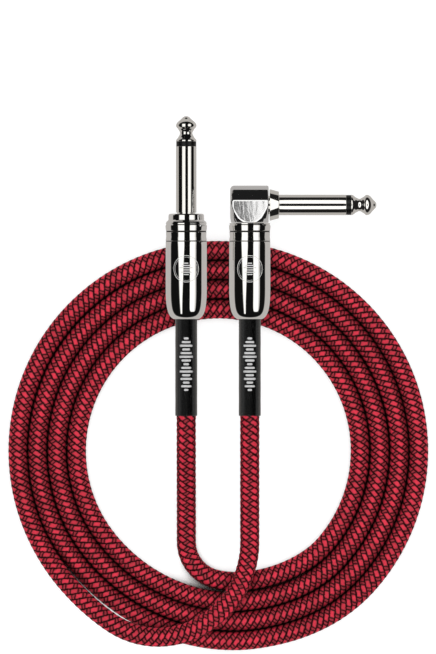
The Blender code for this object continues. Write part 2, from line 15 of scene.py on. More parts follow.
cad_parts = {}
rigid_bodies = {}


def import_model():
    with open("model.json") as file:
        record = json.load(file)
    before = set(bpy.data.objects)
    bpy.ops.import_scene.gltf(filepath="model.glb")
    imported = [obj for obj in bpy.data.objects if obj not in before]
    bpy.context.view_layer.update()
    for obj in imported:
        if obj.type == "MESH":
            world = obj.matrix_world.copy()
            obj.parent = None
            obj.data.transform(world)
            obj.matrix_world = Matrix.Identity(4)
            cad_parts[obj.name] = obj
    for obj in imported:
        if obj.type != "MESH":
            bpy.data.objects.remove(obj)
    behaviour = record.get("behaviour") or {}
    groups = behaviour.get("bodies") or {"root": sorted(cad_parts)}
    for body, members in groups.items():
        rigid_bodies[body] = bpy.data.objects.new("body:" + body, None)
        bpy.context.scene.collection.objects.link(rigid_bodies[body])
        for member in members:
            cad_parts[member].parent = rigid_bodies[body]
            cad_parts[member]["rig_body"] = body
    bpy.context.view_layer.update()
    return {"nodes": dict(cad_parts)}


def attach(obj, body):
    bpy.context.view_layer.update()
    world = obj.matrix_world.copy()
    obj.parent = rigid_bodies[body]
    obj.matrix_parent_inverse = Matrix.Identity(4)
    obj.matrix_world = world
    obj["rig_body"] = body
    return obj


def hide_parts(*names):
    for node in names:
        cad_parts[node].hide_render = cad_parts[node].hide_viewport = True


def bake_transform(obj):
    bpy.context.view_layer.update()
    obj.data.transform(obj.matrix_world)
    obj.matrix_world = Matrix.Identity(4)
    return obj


for _ob in list(bpy.data.objects):
    bpy.data.objects.remove(_ob, do_unlink=True)

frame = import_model()

MM = 0.001
COIL_Y = -21.2

# ------------------------------------------------------------------ dimensions
CABLE_HALF = 2.9
COIL_R1, COIL_PITCH, COIL_LAST_TURN = 44.4, 6.1, 3
STEP_FROM, STEP_TO = 222.0, 280.0
FLATTEN, FLATTEN_HALF = 3.0, 48.0
COIL_START, COIL_END, RAISE_FROM = -42.0, 238.0, 203.0
STRAND_RAISE = 6.3
INNER_BEND_R, INNER_BEND_DEG = 12.0, 75.0
INNER_REACH, OUTER_REACH = 11.0, 22.5
STRAIGHT_X, ANGLE_X = -10.0, 9.8
SHOULDER_Y, PLUG_Z = 74.06, 12.75
TAIL_LEVEL_FROM, TAIL_LEVEL_TO = 9.0, -22.0
FLEX_Y, TAIL_END_Y = -25.0, -28.5

SHAFT_R, SHAFT_LEN, RING_LEN, TIP_END = 3.175, 21.1, 1.2, 30.4
TIP_BACK = SHAFT_LEN + RING_LEN
COLLAR_LEN, NECK_R, NECK_END = 8.6, 4.95, 14.5
SHELL_R, SHELL_MOUTH_R = 6.4, 3.75
BOOT_FROM, BOOT_TO = 29.0, 63.0
HEAD_AXIS, HEAD_FOOT = 2.72, -2.8
HUB_FROM, HUB_TO, HUB_R1, HUB_R2 = 6.2, 9.07, 4.95, 4.16
ROD_R, CLEAR = 0.8, 0.3

# cable layers: outside and inside radius
SLEEVE_INSIDE = 2.36
JACKET = (2.28, 1.84)
SHIELD = (1.56, 1.30)
INSULATION = (0.90, 0.68)
CONDUCTOR = 0.36
CUT = {"braid": 27.4, "jacket": 24.8, "shield": 23.0, "insulation": 21.2, "conductor": 19.4}

# woven sleeve: six fat red yarns one way, six thin ones the other way
YARNS = 6
LEAD = 12.6                 # length of one turn of a yarn
RED_R, RED_WAVE, RED_DOME, RED_HALF = 2.885, 0.050, 0.115, 0.41
THIN_R, THIN_WAVE, THIN_DOME, THIN_HALF = 2.885, 0.050, 0.090, 0.34
CORE_R = 2.79
COIL_TWIST = 30.0           # degrees the weave is turned on the coil, so that a float runs along its crest
SUB_A = [-0.5, -0.37, -0.13, 0.13, 0.37]
SUB_B = [-0.5, -0.31, -0.11, 0.11, 0.31]


def W(p):
    """Millimetres in the coil's frame to metres in the row frame."""
    p = np.asarray(p, float)
    return (p + np.array([0.0, COIL_Y, 0.0])) * MM


# ------------------------------------------------------------------ mesh helpers
def mesh_object(name, verts, faces, smooth=True, sharp=None):
    """verts in metres (row frame)."""
    me = bpy.data.meshes.new(name)
    verts = np.asarray(verts, np.float32)
    if isinstance(faces, np.ndarray):
        n, k = faces.shape
        me.vertices.add(len(verts))
        me.vertices.foreach_set("co", verts.ravel())
        me.loops.add(n * k)
        me.loops.foreach_set("vertex_index", faces.astype(np.int32).ravel())
        me.polygons.add(n)
        me.polygons.foreach_set("loop_start", np.arange(0, n * k, k, dtype=np.int32))
        me.update(calc_edges=True)
    else:
        me.from_pydata([tuple(map(float, v)) for v in verts], [], faces)
        me.update()
    me.validate()
    if smooth:
        me.shade_smooth()
        if sharp:
            me.set_sharp_from_angle(angle=math.radians(sharp))
    ob = bpy.data.objects.new(name, me)
    bpy.context.scene.collection.objects.link(ob)
    return ob


def fillet(points, radii, n=5):
    """Rounds the corners of a polyline of (t, r) points; radii has one value a point."""
    out = []
    pts = [np.array(p, float) for p in points]
    m = len(pts)
    for i, p in enumerate(pts):
        rad = radii[i]
        a, b = pts[(i - 1) % m], pts[(i + 1) % m]
        if rad <= 0 or i in (0, m - 1):
            out.append(tuple(p))
            continue
        u, v = a - p, b - p
        lu, lv = np.linalg.norm(u), np.linalg.norm(v)
        u, v = u / lu, v / lv
        half = math.acos(max(-1, min(1, float(u @ v)))) / 2
        if half > math.radians(88.5):
            out.append(tuple(p))
            continue
        cut = min(rad / math.tan(half), 0.46 * lu, 0.46 * lv)
        r = cut * math.tan(half)
        centre = p + (u + v) / np.linalg.norm(u + v) * (r / math.sin(half))
        s, e = p + u * cut - centre, p + v * cut - centre
        total = math.pi - 2 * half
        sign = 1.0 if s[0] * e[1] - s[1] * e[0] > 0 else -1.0
        for k in range(n + 1):
            ang = sign * total * k / n
            c, q = math.cos(ang), math.sin(ang)
            out.append(tuple(centre + np.array([c * s[0] - q * s[1], q * s[0] + c * s[1]])))
    return out


def densify(points, step):
    """Adds points along straight runs longer than step."""
    out = [points[0]]
    for a, b in zip(points, points[1:]):
        n = max(1, math.ceil(math.dist(a, b) / step))
        for k in range(1, n + 1):
            out.append((a[0] + (b[0] - a[0]) * k / n, a[1] + (b[1] - a[1]) * k / n))
    return out


AX_Y = (np.array([1.0, 0, 0]), np.array([0, 0, 1.0]), np.array([0, 1.0, 0]))   # radial, radial, along
AX_X = (np.array([0, 0, 1.0]), np.array([0, 1.0, 0]), np.array([1.0, 0, 0]))


def lathe(name, profile, origin, axes, segs=96, closed=True, sharp=32, change=None):
    """A piece turned from (t, r) pairs, t along axes[2]. Points at r=0 become poles.
    change(t, r, angle) may move the radius, for a thread or knurl."""
    e1, e2, ax = axes
    origin = np.asarray(origin, float)
    rows, verts, faces = [], [], []
    ang = np.arange(segs) * 2 * math.pi / segs
    for t, r in profile:
        if r < 1e-9:
            rows.append([len(verts)])
            verts.append(origin + ax * t)
        else:
            rr = np.full(segs, r) if change is None else change(t, r, ang)
            rows.append(list(range(len(verts), len(verts) + segs)))
            for a, q in zip(ang, rr):
                verts.append(origin + ax * t + q * (math.cos(a) * e1 + math.sin(a) * e2))
    pairs = list(zip(rows, rows[1:]))
    if closed:
        pairs.append((rows[-1], rows[0]))
    for u, v in pairs:
        if len(u) == 1 and len(v) == 1:
            continue
        for k in range(segs):
            k2 = (k + 1) % segs
            if len(u) == 1:
                faces.append((u[0], v[k2], v[k]))
            elif len(v) == 1:
                faces.append((u[k], u[k2], v[0]))
            else:
                faces.append((u[k], u[k2], v[k2], v[k]))
    ob = mesh_object(name, W(verts), faces, smooth=False)
    bm = bmesh.new()
    bm.from_mesh(ob.data)
    bmesh.ops.recalc_face_normals(bm, faces=bm.faces)
    bm.to_mesh(ob.data)
    bm.free()
    ob.data.shade_smooth()
    ob.data.set_sharp_from_angle(angle=math.radians(sharp))
    return ob


def put(ob, body, mat, slot, *nodes):
    """Rides a piece on a body, paints it and lets it stand for CAD nodes."""
    ob.data.materials.clear()
    ob.data.materials.append(mat)
    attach(ob, body)
    if nodes:
        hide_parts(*nodes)
    return ob


# ------------------------------------------------------------------ node helpers
class Nodes:
    """Shorthand for building a material's node tree."""

    def __init__(self, name, world=False):
        if world:
            self.owner = bpy.data.worlds.new(name)
        else:
            self.owner = bpy.data.materials.new(name)
        self.owner.use_nodes = True
        self.t = self.owner.node_tree
        self.t.nodes.clear()

    def new(self, kind, **props):
        n = self.t.nodes.new(kind)
        for k, v in props.items():
            setattr(n, k, v)
        return n

    def feed(self, socket, value):
        if value is None:
            return
        if hasattr(value, "is_output"):
            self.t.links.new(value, socket)
        else:
            socket.default_value = value

    def math(self, op, a=None, b=None, c=None, clamp=False):
        n = self.new("ShaderNodeMath", operation=op, use_clamp=clamp)
        for i, v in enumerate((a, b, c)):
            if v is not None:
                self.feed(n.inputs[i], v)
        return n.outputs[0]

    def ramp(self, value, lo, hi, out_lo=0.0, out_hi=1.0, smooth=True):
        n = self.new("ShaderNodeMapRange")
        n.interpolation_type = "SMOOTHSTEP" if smooth else "LINEAR"
        n.clamp = True
        for key, v in (("Value", value), ("From Min", lo), ("From Max", hi), ("To Min", out_lo), ("To Max", out_hi)):
            self.feed(n.inputs[key], v)
        return n.outputs[0]

    def mix(self, fac, a, b):
        n = self.new("ShaderNodeMix", data_type="RGBA")
        self.feed(n.inputs[0], fac)
        self.feed(n.inputs[6], a if hasattr(a, "is_output") else (*a, 1.0))
        self.feed(n.inputs[7], b if hasattr(b, "is_output") else (*b, 1.0))
        return n.outputs[2]

    def mixf(self, fac, a, b):
        n = self.new("ShaderNodeMix", data_type="FLOAT")
        self.feed(n.inputs[0], fac)
        self.feed(n.inputs[2], a)
        self.feed(n.inputs[3], b)
        return n.outputs[0]

    def noise(self, vector, scale, detail=3.0, rough=0.5, out=0, distortion=0.0):
        n = self.new("ShaderNodeTexNoise")
        self.feed(n.inputs["Vector"], vector)
        n.inputs["Scale"].default_value = scale
        n.inputs["Detail"].default_value = detail
        n.inputs["Roughness"].default_value = rough
        n.inputs["Distortion"].default_value = distortion
        return n.outputs[out]

    def object_mm(self, scale=(1.0, 1.0, 1.0)):
        """Object coordinates in millimetres, stretched by scale."""
        tc = self.new("ShaderNodeTexCoord")
        m = self.new("ShaderNodeMapping")
        m.inputs["Scale"].default_value = tuple(1000.0 * s for s in scale)
        self.t.links.new(tc.outputs["Object"], m.inputs["Vector"])
        return m.outputs[0]

    def bump(self, height, strength=0.5, distance=0.0001, normal=None):
        n = self.new("ShaderNodeBump")
        n.inputs["Strength"].default_value = strength
        n.inputs["Distance"].default_value = distance
        self.feed(n.inputs["Height"], height)
        if normal is not None:
            self.feed(n.inputs["Normal"], normal)
        return n.outputs[0]

    def principled(self, **inputs):
        n = self.new("ShaderNodeBsdfPrincipled")
        for k, v in inputs.items():
            key = k.replace("_", " ")
            if key == "Base Color" and not hasattr(v, "is_output"):
                v = (*v, 1.0)
            self.feed(n.inputs[key], v)
        out = self.new("ShaderNodeOutputMaterial")
        self.t.links.new(n.outputs[0], out.inputs["Surface"])
        return self.owner


# ------------------------------------------------------------------ materials
def mat_weave():
    """Red textile sleeve. The UV map 'weave' holds the two yarn coordinates."""
    N = Nodes("woven_sleeve")
    uv = N.new("ShaderNodeUVMap", uv_map="weave").outputs[0]
    sep = N.new("ShaderNodeSeparateXYZ")
    N.feed(sep.inputs[0], uv)
    wob = N.noise(N.object_mm(), 0.9, 2.0)
    a = N.math("ADD", sep.outputs[0], N.ramp(wob, 0.3, 0.7, -0.055, 0.055))
    b = N.math("ADD", sep.outputs[1], N.ramp(N.noise(N.object_mm((1.0, 0.9, 1.1)), 0.8, 2.0), 0.3, 0.7, -0.055, 0.055))
    i = N.math("ROUND", a)
    j = N.math("ROUND", b)
    fa = N.math("SUBTRACT", a, i)
    fb = N.math("SUBTRACT", b, j)
    us = N.math("COSINE", N.math("MULTIPLY", N.math("ADD", b, i), math.pi))
    uz = N.math("MULTIPLY", N.math("COSINE", N.math("MULTIPLY", N.math("ADD", a, j), math.pi)), -1.0)
    qa = N.math("DIVIDE", fa, RED_HALF)
    qb = N.math("DIVIDE", fb, THIN_HALF)
    in_a = N.math("LESS_THAN", N.math("ABSOLUTE", qa), 1.0)
    in_b = N.math("LESS_THAN", N.math("ABSOLUTE", qb), 1.0)
    dome_a = N.math("SQRT", N.math("MAXIMUM", N.math("SUBTRACT", 1.0, N.math("MULTIPLY", qa, qa)), 0.0))
    dome_b = N.math("SQRT", N.math("MAXIMUM", N.math("SUBTRACT", 1.0, N.math("MULTIPLY", qb, qb)), 0.0))
    hs = N.math("MULTIPLY_ADD", us, RED_WAVE, N.math("MULTIPLY_ADD", dome_a, RED_DOME, RED_R))
    hs = N.mixf(in_a, CORE_R, hs)
    hz = N.math("MULTIPLY_ADD", uz, THIN_WAVE, N.math("MULTIPLY_ADD", dome_b, THIN_DOME, THIN_R))
    hz = N.mixf(in_b, CORE_R, hz)
    red_over = N.math("GREATER_THAN", hs, hz)
    red = N.math("MULTIPLY", in_a, red_over)
    thin = N.math("MULTIPLY", in_b, N.math("SUBTRACT", 1.0, red_over))
    # every float of yarn has its own shade
    cell = N.new("ShaderNodeCombineXYZ")
    N.feed(cell.inputs[0], N.math("MODULO", N.math("ADD", i, 600.0), 6.0))
    N.feed(cell.inputs[1], N.math("ROUND", N.math("MULTIPLY", N.math("ADD", b, i), 0.5)))
    white = N.new("ShaderNodeTexWhiteNoise", noise_dimensions="2D")
    N.feed(white.inputs["Vector"], cell.outputs[0])
    shade = white.outputs["Value"]
    # filaments: fine lines along each yarn, broken up by noise
    strand = N.new("ShaderNodeCombineXYZ")
    N.feed(strand.inputs[0], N.math("MULTIPLY", a, 26.0))
    N.feed(strand.inputs[1], N.math("MULTIPLY", b, 1.6))
    fil = N.noise(strand.outputs[0], 1.0, 3.0, 0.6)
    strand2 = N.new("ShaderNodeCombineXYZ")
    N.feed(strand2.inputs[0], N.math("MULTIPLY", b, 22.0))
    N.feed(strand2.inputs[1], N.math("MULTIPLY", a, 1.6))
    fil2 = N.noise(strand2.outputs[0], 1.0, 3.0, 0.6)
    bright = N.math("MULTIPLY_ADD", shade, 0.50, N.ramp(fil, 0.32, 0.68, 0.0, 0.55))
    # painted shade: the red yarn is drawn darker towards its sides, where its dome turns away from the light
    edge = N.ramp(dome_a, 0.30, 0.95)
    red_col = N.mix(bright, COL["red_dark"], COL["red_light"])
    red_col = N.mix(edge, COL["red_edge_shade"], red_col)
    # the float dives under its crossing yarn at both ends, and is painted darker there as shade under that yarn
    dive = N.ramp(us, -0.45, 0.35)
    red_col = N.mix(dive, COL["red_dive_shade"], red_col)
    thin_col = N.mix(N.ramp(fil2, 0.34, 0.60), COL["thin_mid"], COL["thin_light"])
    # painted highlight and shade: the thin yarn is lighter along its crest and darker down its sides and along the
    # split between its two strands
    crest = N.math("MULTIPLY", N.ramp(uz, 0.10, 0.75), N.ramp(N.math("ABSOLUTE", qb), 0.25, 0.80, 1.0, 0.0))
    split = N.ramp(N.math("ABSOLUTE", qb), 0.03, 0.16)
    thin_col = N.mix(N.math("MULTIPLY", crest, N.mixf(split, 0.65, 1.0)), COL["thin_shade"], thin_col)
    dust = N.noise(N.object_mm(), 2.2, 4.0, 0.6)
    gap_col = N.mix(N.ramp(dust, 0.4, 0.65), COL["gap"], COL["gap_light"])
    col = N.mix(thin, gap_col, thin_col)
    col = N.mix(red, col, red_col)
    # painted shade between the turns of the coil: the colour goes almost black where another turn lies close beside
    # (from contact_shade)
    valley = N.new("ShaderNodeAttribute", attribute_name="valley").outputs["Fac"]
    col = N.mix(N.math("MULTIPLY", valley, 0.97), col, (0.003, 0.0005, 0.0005))
    large = N.noise(N.object_mm(), 0.05, 2.0)
    hsv = N.new("ShaderNodeHueSaturation")
    N.feed(hsv.inputs["Color"], col)
    N.feed(hsv.inputs["Value"], N.ramp(large, 0.3, 0.7, 0.93, 1.07))
    col = hsv.outputs[0]
    height = N.math("ADD", N.math("MULTIPLY", red, N.math("MULTIPLY", fil, 1.0)), N.math("MULTIPLY", thin, N.math("MULTIPLY", fil2, 1.0)))
    nrm = N.bump(height, 0.8, 0.00008)
    rough = N.mixf(red, 0.85, N.ramp(fil, 0.3, 0.7, 0.55, 0.75))
    return N.principled(
        Base_Color=col, Roughness=rough, Normal=nrm, Specular_IOR_Level=N.mixf(N.math("MULTIPLY", red, N.math("SUBTRACT", 1.0, valley)), 0.0, 0.26),
    )


COL = {
    "red_light": (0.77, 0.029, 0.066),
    "red_dark": (0.34, 0.011, 0.023),
    "red_edge_shade": (0.050, 0.002, 0.005),
    "red_dive_shade": (0.060, 0.003, 0.006),
    "thin_light": (0.42, 0.048, 0.062),
    "thin_mid": (0.13, 0.010, 0.016),
    "thin_shade": (0.020, 0.003, 0.005),
    "gap": (0.005, 0.003, 0.002),
    "gap_light": (0.012, 0.008, 0.005),
}


def mat_chrome(name, base, rough_lo, rough_hi, scratch=0.15, along=(1.0, 1.0, 1.0), lines=()):
    """Plated metal: clear reflections, faint smears and hairline scratches, and painted shade down in the turned lines
    (a dark colour with a rougher finish), given as (distance from the shoulder, half width)."""
    N = Nodes(name)
    p = N.object_mm()
    smear = N.noise(p, 0.35, 4.0, 0.55)
    hair = N.noise(N.object_mm(along), 3.0, 2.0, 0.7)
    speck = N.noise(p, 9.0, 2.0, 0.5)
    rough = N.math("ADD", N.ramp(smear, 0.35, 0.7, rough_lo, rough_hi), N.ramp(hair, 0.62, 0.75, 0.0, 0.05))
    tone = N.ramp(smear, 0.3, 0.7, 0.97, 1.0)
    col = N.mix(tone, tuple(c * 0.8 for c in base), base)
    col = N.mix(N.ramp(speck, 0.72, 0.80, 0.0, 0.5), col, tuple(c * 0.75 for c in base))
    at = N.new("ShaderNodeSeparateXYZ")
    N.feed(at.inputs[0], N.object_mm())
    # painted shade: each turned line is coloured dark, and its finish is rougher
    for t, half in lines:
        off = N.math("ABSOLUTE", N.math("SUBTRACT", at.outputs[1], SHOULDER_Y + COIL_Y + t))
        deep = N.ramp(off, half * 0.7, half, 1.0, 0.0)
        col = N.mix(deep, col, (0.045, 0.043, 0.040))
        rough = N.mixf(deep, rough, 0.5)
    nrm = N.bump(hair, scratch, 0.000004)
    return N.principled(Base_Color=col, Metallic=1.0, Roughness=rough, Normal=nrm)


def mat_head_chrome():
    """Cast and plated head: the flat front is gently wavy, slightly crowned and a little satin."""
    N = Nodes("head_chrome")
    wave = N.noise(N.object_mm((1.0, 0.38, 1.0)), 0.40, 2.0, 0.5, distortion=0.8)
    fine = N.noise(N.object_mm((1.0, 0.20, 1.0)), 1.5, 3.0, 0.6)
    geo = N.new("ShaderNodeNewGeometry")
    sep = N.new("ShaderNodeSeparateXYZ")
    N.feed(sep.inputs[0], geo.outputs["Normal"])
    flat = N.ramp(N.math("ABSOLUTE", sep.outputs[2]), 0.985, 0.999)
    at = N.new("ShaderNodeSeparateXYZ")
    N.feed(at.inputs[0], N.object_mm())
    off = N.math("SUBTRACT", at.outputs[0], ANGLE_X - 7.0)
    crown = N.math("MULTIPLY", N.math("MULTIPLY", off, off), -0.0100)
    smear = N.noise(N.object_mm(), 0.5, 4.0, 0.55)
    rough = N.math("ADD", N.ramp(smear, 0.35, 0.7, 0.04, 0.09), N.math("MULTIPLY", flat, 0.19))
    h = N.math("ADD", N.math("MULTIPLY", wave, 0.17), N.math("MULTIPLY", fine, 0.004))
    h = N.math("MULTIPLY", flat, N.math("ADD", h, crown))
    nrm = N.bump(h, 1.0, 0.001)
    tone = N.ramp(wave, 0.35, 0.65, 0.0, 1.0)
    face = N.mix(tone, (0.74, 0.74, 0.75), (0.80, 0.80, 0.81))
    col = N.mix(flat, (0.80, 0.80, 0.81), face)
    return N.principled(Base_Color=col, Metallic=1.0, Roughness=rough, Normal=nrm)


def mat_nickel(axis):
    """Turned and plated contact metal, with turning lines round the axis and rub marks along it."""
    N = Nodes("nickel_" + axis)
    s = (0.02, 1.0, 0.02) if axis == "Y" else (1.0, 0.02, 0.02)
    turn = N.noise(N.object_mm(s), 6.0, 3.0, 0.7)
    r = (1.0, 0.03, 1.0) if axis == "Y" else (0.03, 1.0, 1.0)
    rub = N.noise(N.object_mm(r), 1.8, 3.0, 0.6)
    smear = N.noise(N.object_mm(), 0.45, 4.0, 0.55)
    rough = N.math("ADD", N.ramp(smear, 0.35, 0.7, 0.045, 0.09), N.ramp(rub, 0.6, 0.72, 0.0, 0.03))
    col = N.mix(N.ramp(rub, 0.35, 0.65), (0.82, 0.80, 0.77), (0.90, 0.89, 0.87))
    nrm = N.bump(turn, 0.05, 0.000004)
    return N.principled(Base_Color=col, Metallic=1.0, Roughness=rough, Normal=nrm)


def mat_boot():
    """Satin shrink sleeve drawn down over the weave."""
    N = Nodes("shrink_boot")
    p = N.object_mm()
    grain = N.noise(p, 7.0, 4.0, 0.6)
    rib = N.noise(N.object_mm((0.12, 1.0, 0.12)), 1.05, 1.0, 0.4)
    scuff = N.noise(N.object_mm((1.0, 0.25, 1.0)), 1.4, 4.0, 0.65)
    rough = N.math("ADD", N.ramp(grain, 0.3, 0.7, 0.20, 0.28), N.ramp(scuff, 0.6, 0.75, 0.0, 0.12))
    col = N.mix(N.ramp(scuff, 0.5, 0.75), (0.0022, 0.0022, 0.0024), (0.0052, 0.0051, 0.0055))
    nrm = N.bump(grain, 0.35, 0.000025, N.bump(rib, 0.5, 0.00012))
    return N.principled(Base_Color=col, Roughness=rough, Normal=nrm, Specular_IOR_Level=0.95)


def mat_plain(name, base, base2, rough_lo, rough_hi, metallic=0.0, scale=2.0, stretch=(1, 1, 1), bump=0.2, dist=0.00003, **more):
    """A moulded or stamped material with grain, tone change and uneven polish."""
    N = Nodes(name)
    n1 = N.noise(N.object_mm(stretch), scale, 4.0, 0.6)
    n2 = N.noise(N.object_mm(), scale * 0.22, 3.0, 0.5)
    col = N.mix(N.ramp(n1, 0.3, 0.7), base, base2)
    col = N.mix(N.ramp(n2, 0.4, 0.75, 0.0, 0.35), col, tuple(c * 0.8 for c in base))
    rough = N.ramp(n1, 0.3, 0.7, rough_lo, rough_hi)
    nrm = N.bump(n1, bump, dist)
    return N.principled(Base_Color=col, Metallic=metallic, Roughness=rough, Normal=nrm, **more)


def mat_twist(name, base, base2, metallic, pitch, count, rough):
    """Strands wound round a core: the UV map 'wrap' runs once round in u and in mm along in v."""
    N = Nodes(name)
    uv = N.new("ShaderNodeUVMap", uv_map="wrap").outputs[0]
    sep = N.new("ShaderNodeSeparateXYZ")
    N.feed(sep.inputs[0], uv)
    u = N.math("MULTIPLY", sep.outputs[0], float(count))
    v = N.math("MULTIPLY", sep.outputs[1], 1.0 / pitch)
    one = N.math("ABSOLUTE", N.math("SINE", N.math("MULTIPLY", N.math("ADD", u, v), math.pi)))
    two = N.math("ABSOLUTE", N.math("SINE", N.math("MULTIPLY", N.math("SUBTRACT", u, v), math.pi)))
    over = N.math("GREATER_THAN", N.math("SINE", N.math("MULTIPLY", u, math.pi)), 0.0)
    h = N.mixf(over, one, two)
    grain = N.noise(N.object_mm(), 6.0, 3.0)
    # painted shade: the copper is drawn darker down between the strands and lighter on their crests
    col = N.mix(N.math("MULTIPLY", h, N.ramp(grain, 0.2, 0.6)), base2, base)
    nrm = N.bump(h, 0.7, 0.00008)
    return N.principled(Base_Color=col, Metallic=metallic, Roughness=N.ramp(grain, 0.3, 0.7, rough, rough + 0.15), Normal=nrm)


M = {
    "weave": mat_weave(),
    # the last argument of the shell and the collar lists the turned lines that are painted dark as shade
    "shell": mat_chrome("shell_chrome", (0.90, 0.89, 0.88), 0.025, 0.06, 0.10, (1.0, 0.05, 1.0), ((-8.60, 0.16),)),
    "collar": mat_chrome("collar_chrome", (0.89, 0.88, 0.87), 0.03, 0.07, 0.10, (0.05, 1.0, 0.05), ((-5.56, 0.24), (-8.60, 0.16))),
    "head": mat_head_chrome(),
    "nickel_y": mat_nickel("Y"),
    "nickel_x": mat_nickel("X"),
    "boot": mat_boot(),
    "etch": mat_plain("etched_chrome", (0.66, 0.66, 0.65), (0.82, 0.82, 0.81), 0.45, 0.6, 0.35, 6.0, bump=0.4),
    "print": mat_plain("silver_print", (0.46, 0.46, 0.47), (0.62, 0.62, 0.63), 0.42, 0.55, 0.35, 5.0, bump=0.25),
    "ring": mat_plain("black_ring", (0.003, 0.003, 0.003), (0.006, 0.006, 0.006), 0.22, 0.34, 0.0, 4.0, Specular_IOR_Level=0.25),
    "insulator": mat_plain("black_insulator", (0.010, 0.010, 0.011), (0.020, 0.020, 0.021), 0.30, 0.45, 0.0, 3.0),
    "brass": mat_plain("stamped_brass", (0.70, 0.52, 0.24), (0.83, 0.66, 0.36), 0.22, 0.40, 1.0, 2.5, (1, 0.1, 1)),
    "solder": mat_plain("solder", (0.52, 0.53, 0.55), (0.70, 0.71, 0.73), 0.22, 0.48, 1.0, 1.6, bump=0.6, dist=0.0001),
    "liner": mat_plain("milky_liner", (0.70, 0.68, 0.62), (0.80, 0.79, 0.74), 0.35, 0.55, 0.0, 1.5, Subsurface_Weight=0.2, Subsurface_Scale=0.001),
    "jacket": mat_plain("pvc_jacket", (0.014, 0.014, 0.015), (0.028, 0.028, 0.030), 0.45, 0.65, 0.0, 3.5, (1, 1, 1)),
    "insulation": mat_plain("white_insulation", (0.74, 0.72, 0.66), (0.84, 0.83, 0.79), 0.3, 0.5, 0.0, 2.0),
    "shield": mat_twist("copper_shield", (0.78, 0.40, 0.22), (0.28, 0.10, 0.05), 1.0, 1.4, 12, 0.25),
    "conductor": mat_twist("copper_strands", (0.82, 0.45, 0.26), (0.30, 0.12, 0.06), 1.0, 2.4, 7, 0.22),
}

# ------------------------------------------------------------------ cable path
def smooth(t):
    t = min(1.0, max(0.0, t))
    return t * t * (3 - 2 * t)


def coil_radius(angle):
    turn = math.floor((angle + 360 - STEP_TO) / 360)
    local = angle - 360 * turn
    r = COIL_R1 + COIL_PITCH * (turn + smooth((local - STEP_FROM) / (STEP_TO - STEP_FROM)))
    off = abs((local if local > 90 else local + 360) - 270)
    if off < FLATTEN_HALF:
        r -= FLATTEN * math.cos(math.radians(90 * off / FLATTEN_HALF)) ** 2
    return r


def on_coil(angle):
    last = 360.0 * COIL_LAST_TURN
    z = CABLE_HALF + STRAND_RAISE * smooth((angle - last - RAISE_FROM) / (COIL_END - RAISE_FROM))
    a = math.radians(angle)
    return np.array((coil_radius(angle) * math.cos(a), coil_radius(angle) * math.sin(a), z))


def heading(angle):
    d = on_coil(angle + 0.01) - on_coil(angle - 0.01)
    d[2] = 0
    return d / np.linalg.norm(d)


def bend(p0, p1, p2, p3, n):
    t = (np.arange(1, n + 1) / n)[:, None]
    return list(p0 * (1 - t) ** 3 + p1 * 3 * (1 - t) ** 2 * t + p2 * 3 * (1 - t) * t * t + p3 * t**3)


def tail_height(y, low):
    return low + (PLUG_Z - low) * smooth((y - TAIL_LEVEL_TO) / (TAIL_LEVEL_FROM - TAIL_LEVEL_TO))


def whole_path():
    """Centre line from inside the straight plug, round the coil, into the angle plug."""
    low, high = CABLE_HALF, CABLE_HALF + STRAND_RAISE
    top = SHOULDER_Y - CUT["conductor"]
    pts = [np.array((STRAIGHT_X, y, tail_height(y, low))) for y in np.arange(top, TAIL_END_Y - 1e-6, -0.25)]
    pts.append(np.array((STRAIGHT_X, TAIL_END_Y, low)))
    centre = np.array((STRAIGHT_X + INNER_BEND_R, TAIL_END_Y, low))
    for i in range(1, 51):
        a = math.pi + math.radians(INNER_BEND_DEG) * i / 50
        pts.append(centre + INNER_BEND_R * np.array((math.cos(a), math.sin(a), 0)))
    a = math.pi + math.radians(INNER_BEND_DEG)
    way = np.array((-math.sin(a), math.cos(a), 0))
    meet = on_coil(COIL_START)
    pts += bend(pts[-1], pts[-1] + way * INNER_REACH, meet - heading(COIL_START) * INNER_REACH, meet, 80)
    end = 360.0 * COIL_LAST_TURN + COIL_END
    pts += [on_coil(x) for x in np.arange(COIL_START + 0.5, end - 0.2, 0.5)]
    leave = on_coil(end)
    pts.append(leave)
    arrive = np.array((ANGLE_X, TAIL_END_Y, high))
    pts += bend(leave, leave + heading(end) * OUTER_REACH, arrive - np.array((0, OUTER_REACH, 0)), arrive, 160)
    pts += [np.array((ANGLE_X, y, tail_height(y, high))) for y in np.arange(TAIL_END_Y + 0.25, top + 0.01, 0.25)]
    pts = np.array(pts)
    # even spacing, then a light smoothing that keeps the ends
    s = np.concatenate([[0], np.cumsum(np.linalg.norm(np.diff(pts, axis=0), axis=1))])
    n = int(s[-1] / 0.25)
    q = np.linspace(0, s[-1], n + 1)
    pts = np.stack([np.interp(q, s, pts[:, k]) for k in range(3)], 1)
    kernel = np.hanning(15)
    kernel /= kernel.sum()
    pad = np.concatenate([2 * pts[0] - pts[7:0:-1], pts, 2 * pts[-1] - pts[-2:-9:-1]])
    pts = np.stack([np.convolve(pad[:, k], kernel, "valid") for k in range(3)], 1)
    s = np.concatenate([[0], np.cumsum(np.linalg.norm(np.diff(pts, axis=0), axis=1))])
    return pts, s


PATH, PATH_S = whole_path()
TANGENT = np.gradient(PATH, PATH_S, axis=0)
TANGENT /= np.linalg.norm(TANGENT, axis=1)[:, None]


def path_at(s):
    """Centre, sideways and upward unit vectors at path lengths s."""
    c = np.stack([np.interp(s, PATH_S, PATH[:, k]) for k in range(3)], -1)
    t = np.stack([np.interp(s, PATH_S, TANGENT[:, k]) for k in range(3)], -1)
    t /= np.linalg.norm(t, axis=-1)[..., None]
    e1 = np.cross(np.array([0.0, 0.0, 1.0]), t)
    e1 /= np.linalg.norm(e1, axis=-1)[..., None]
    return c, e1, np.cross(t, e1)


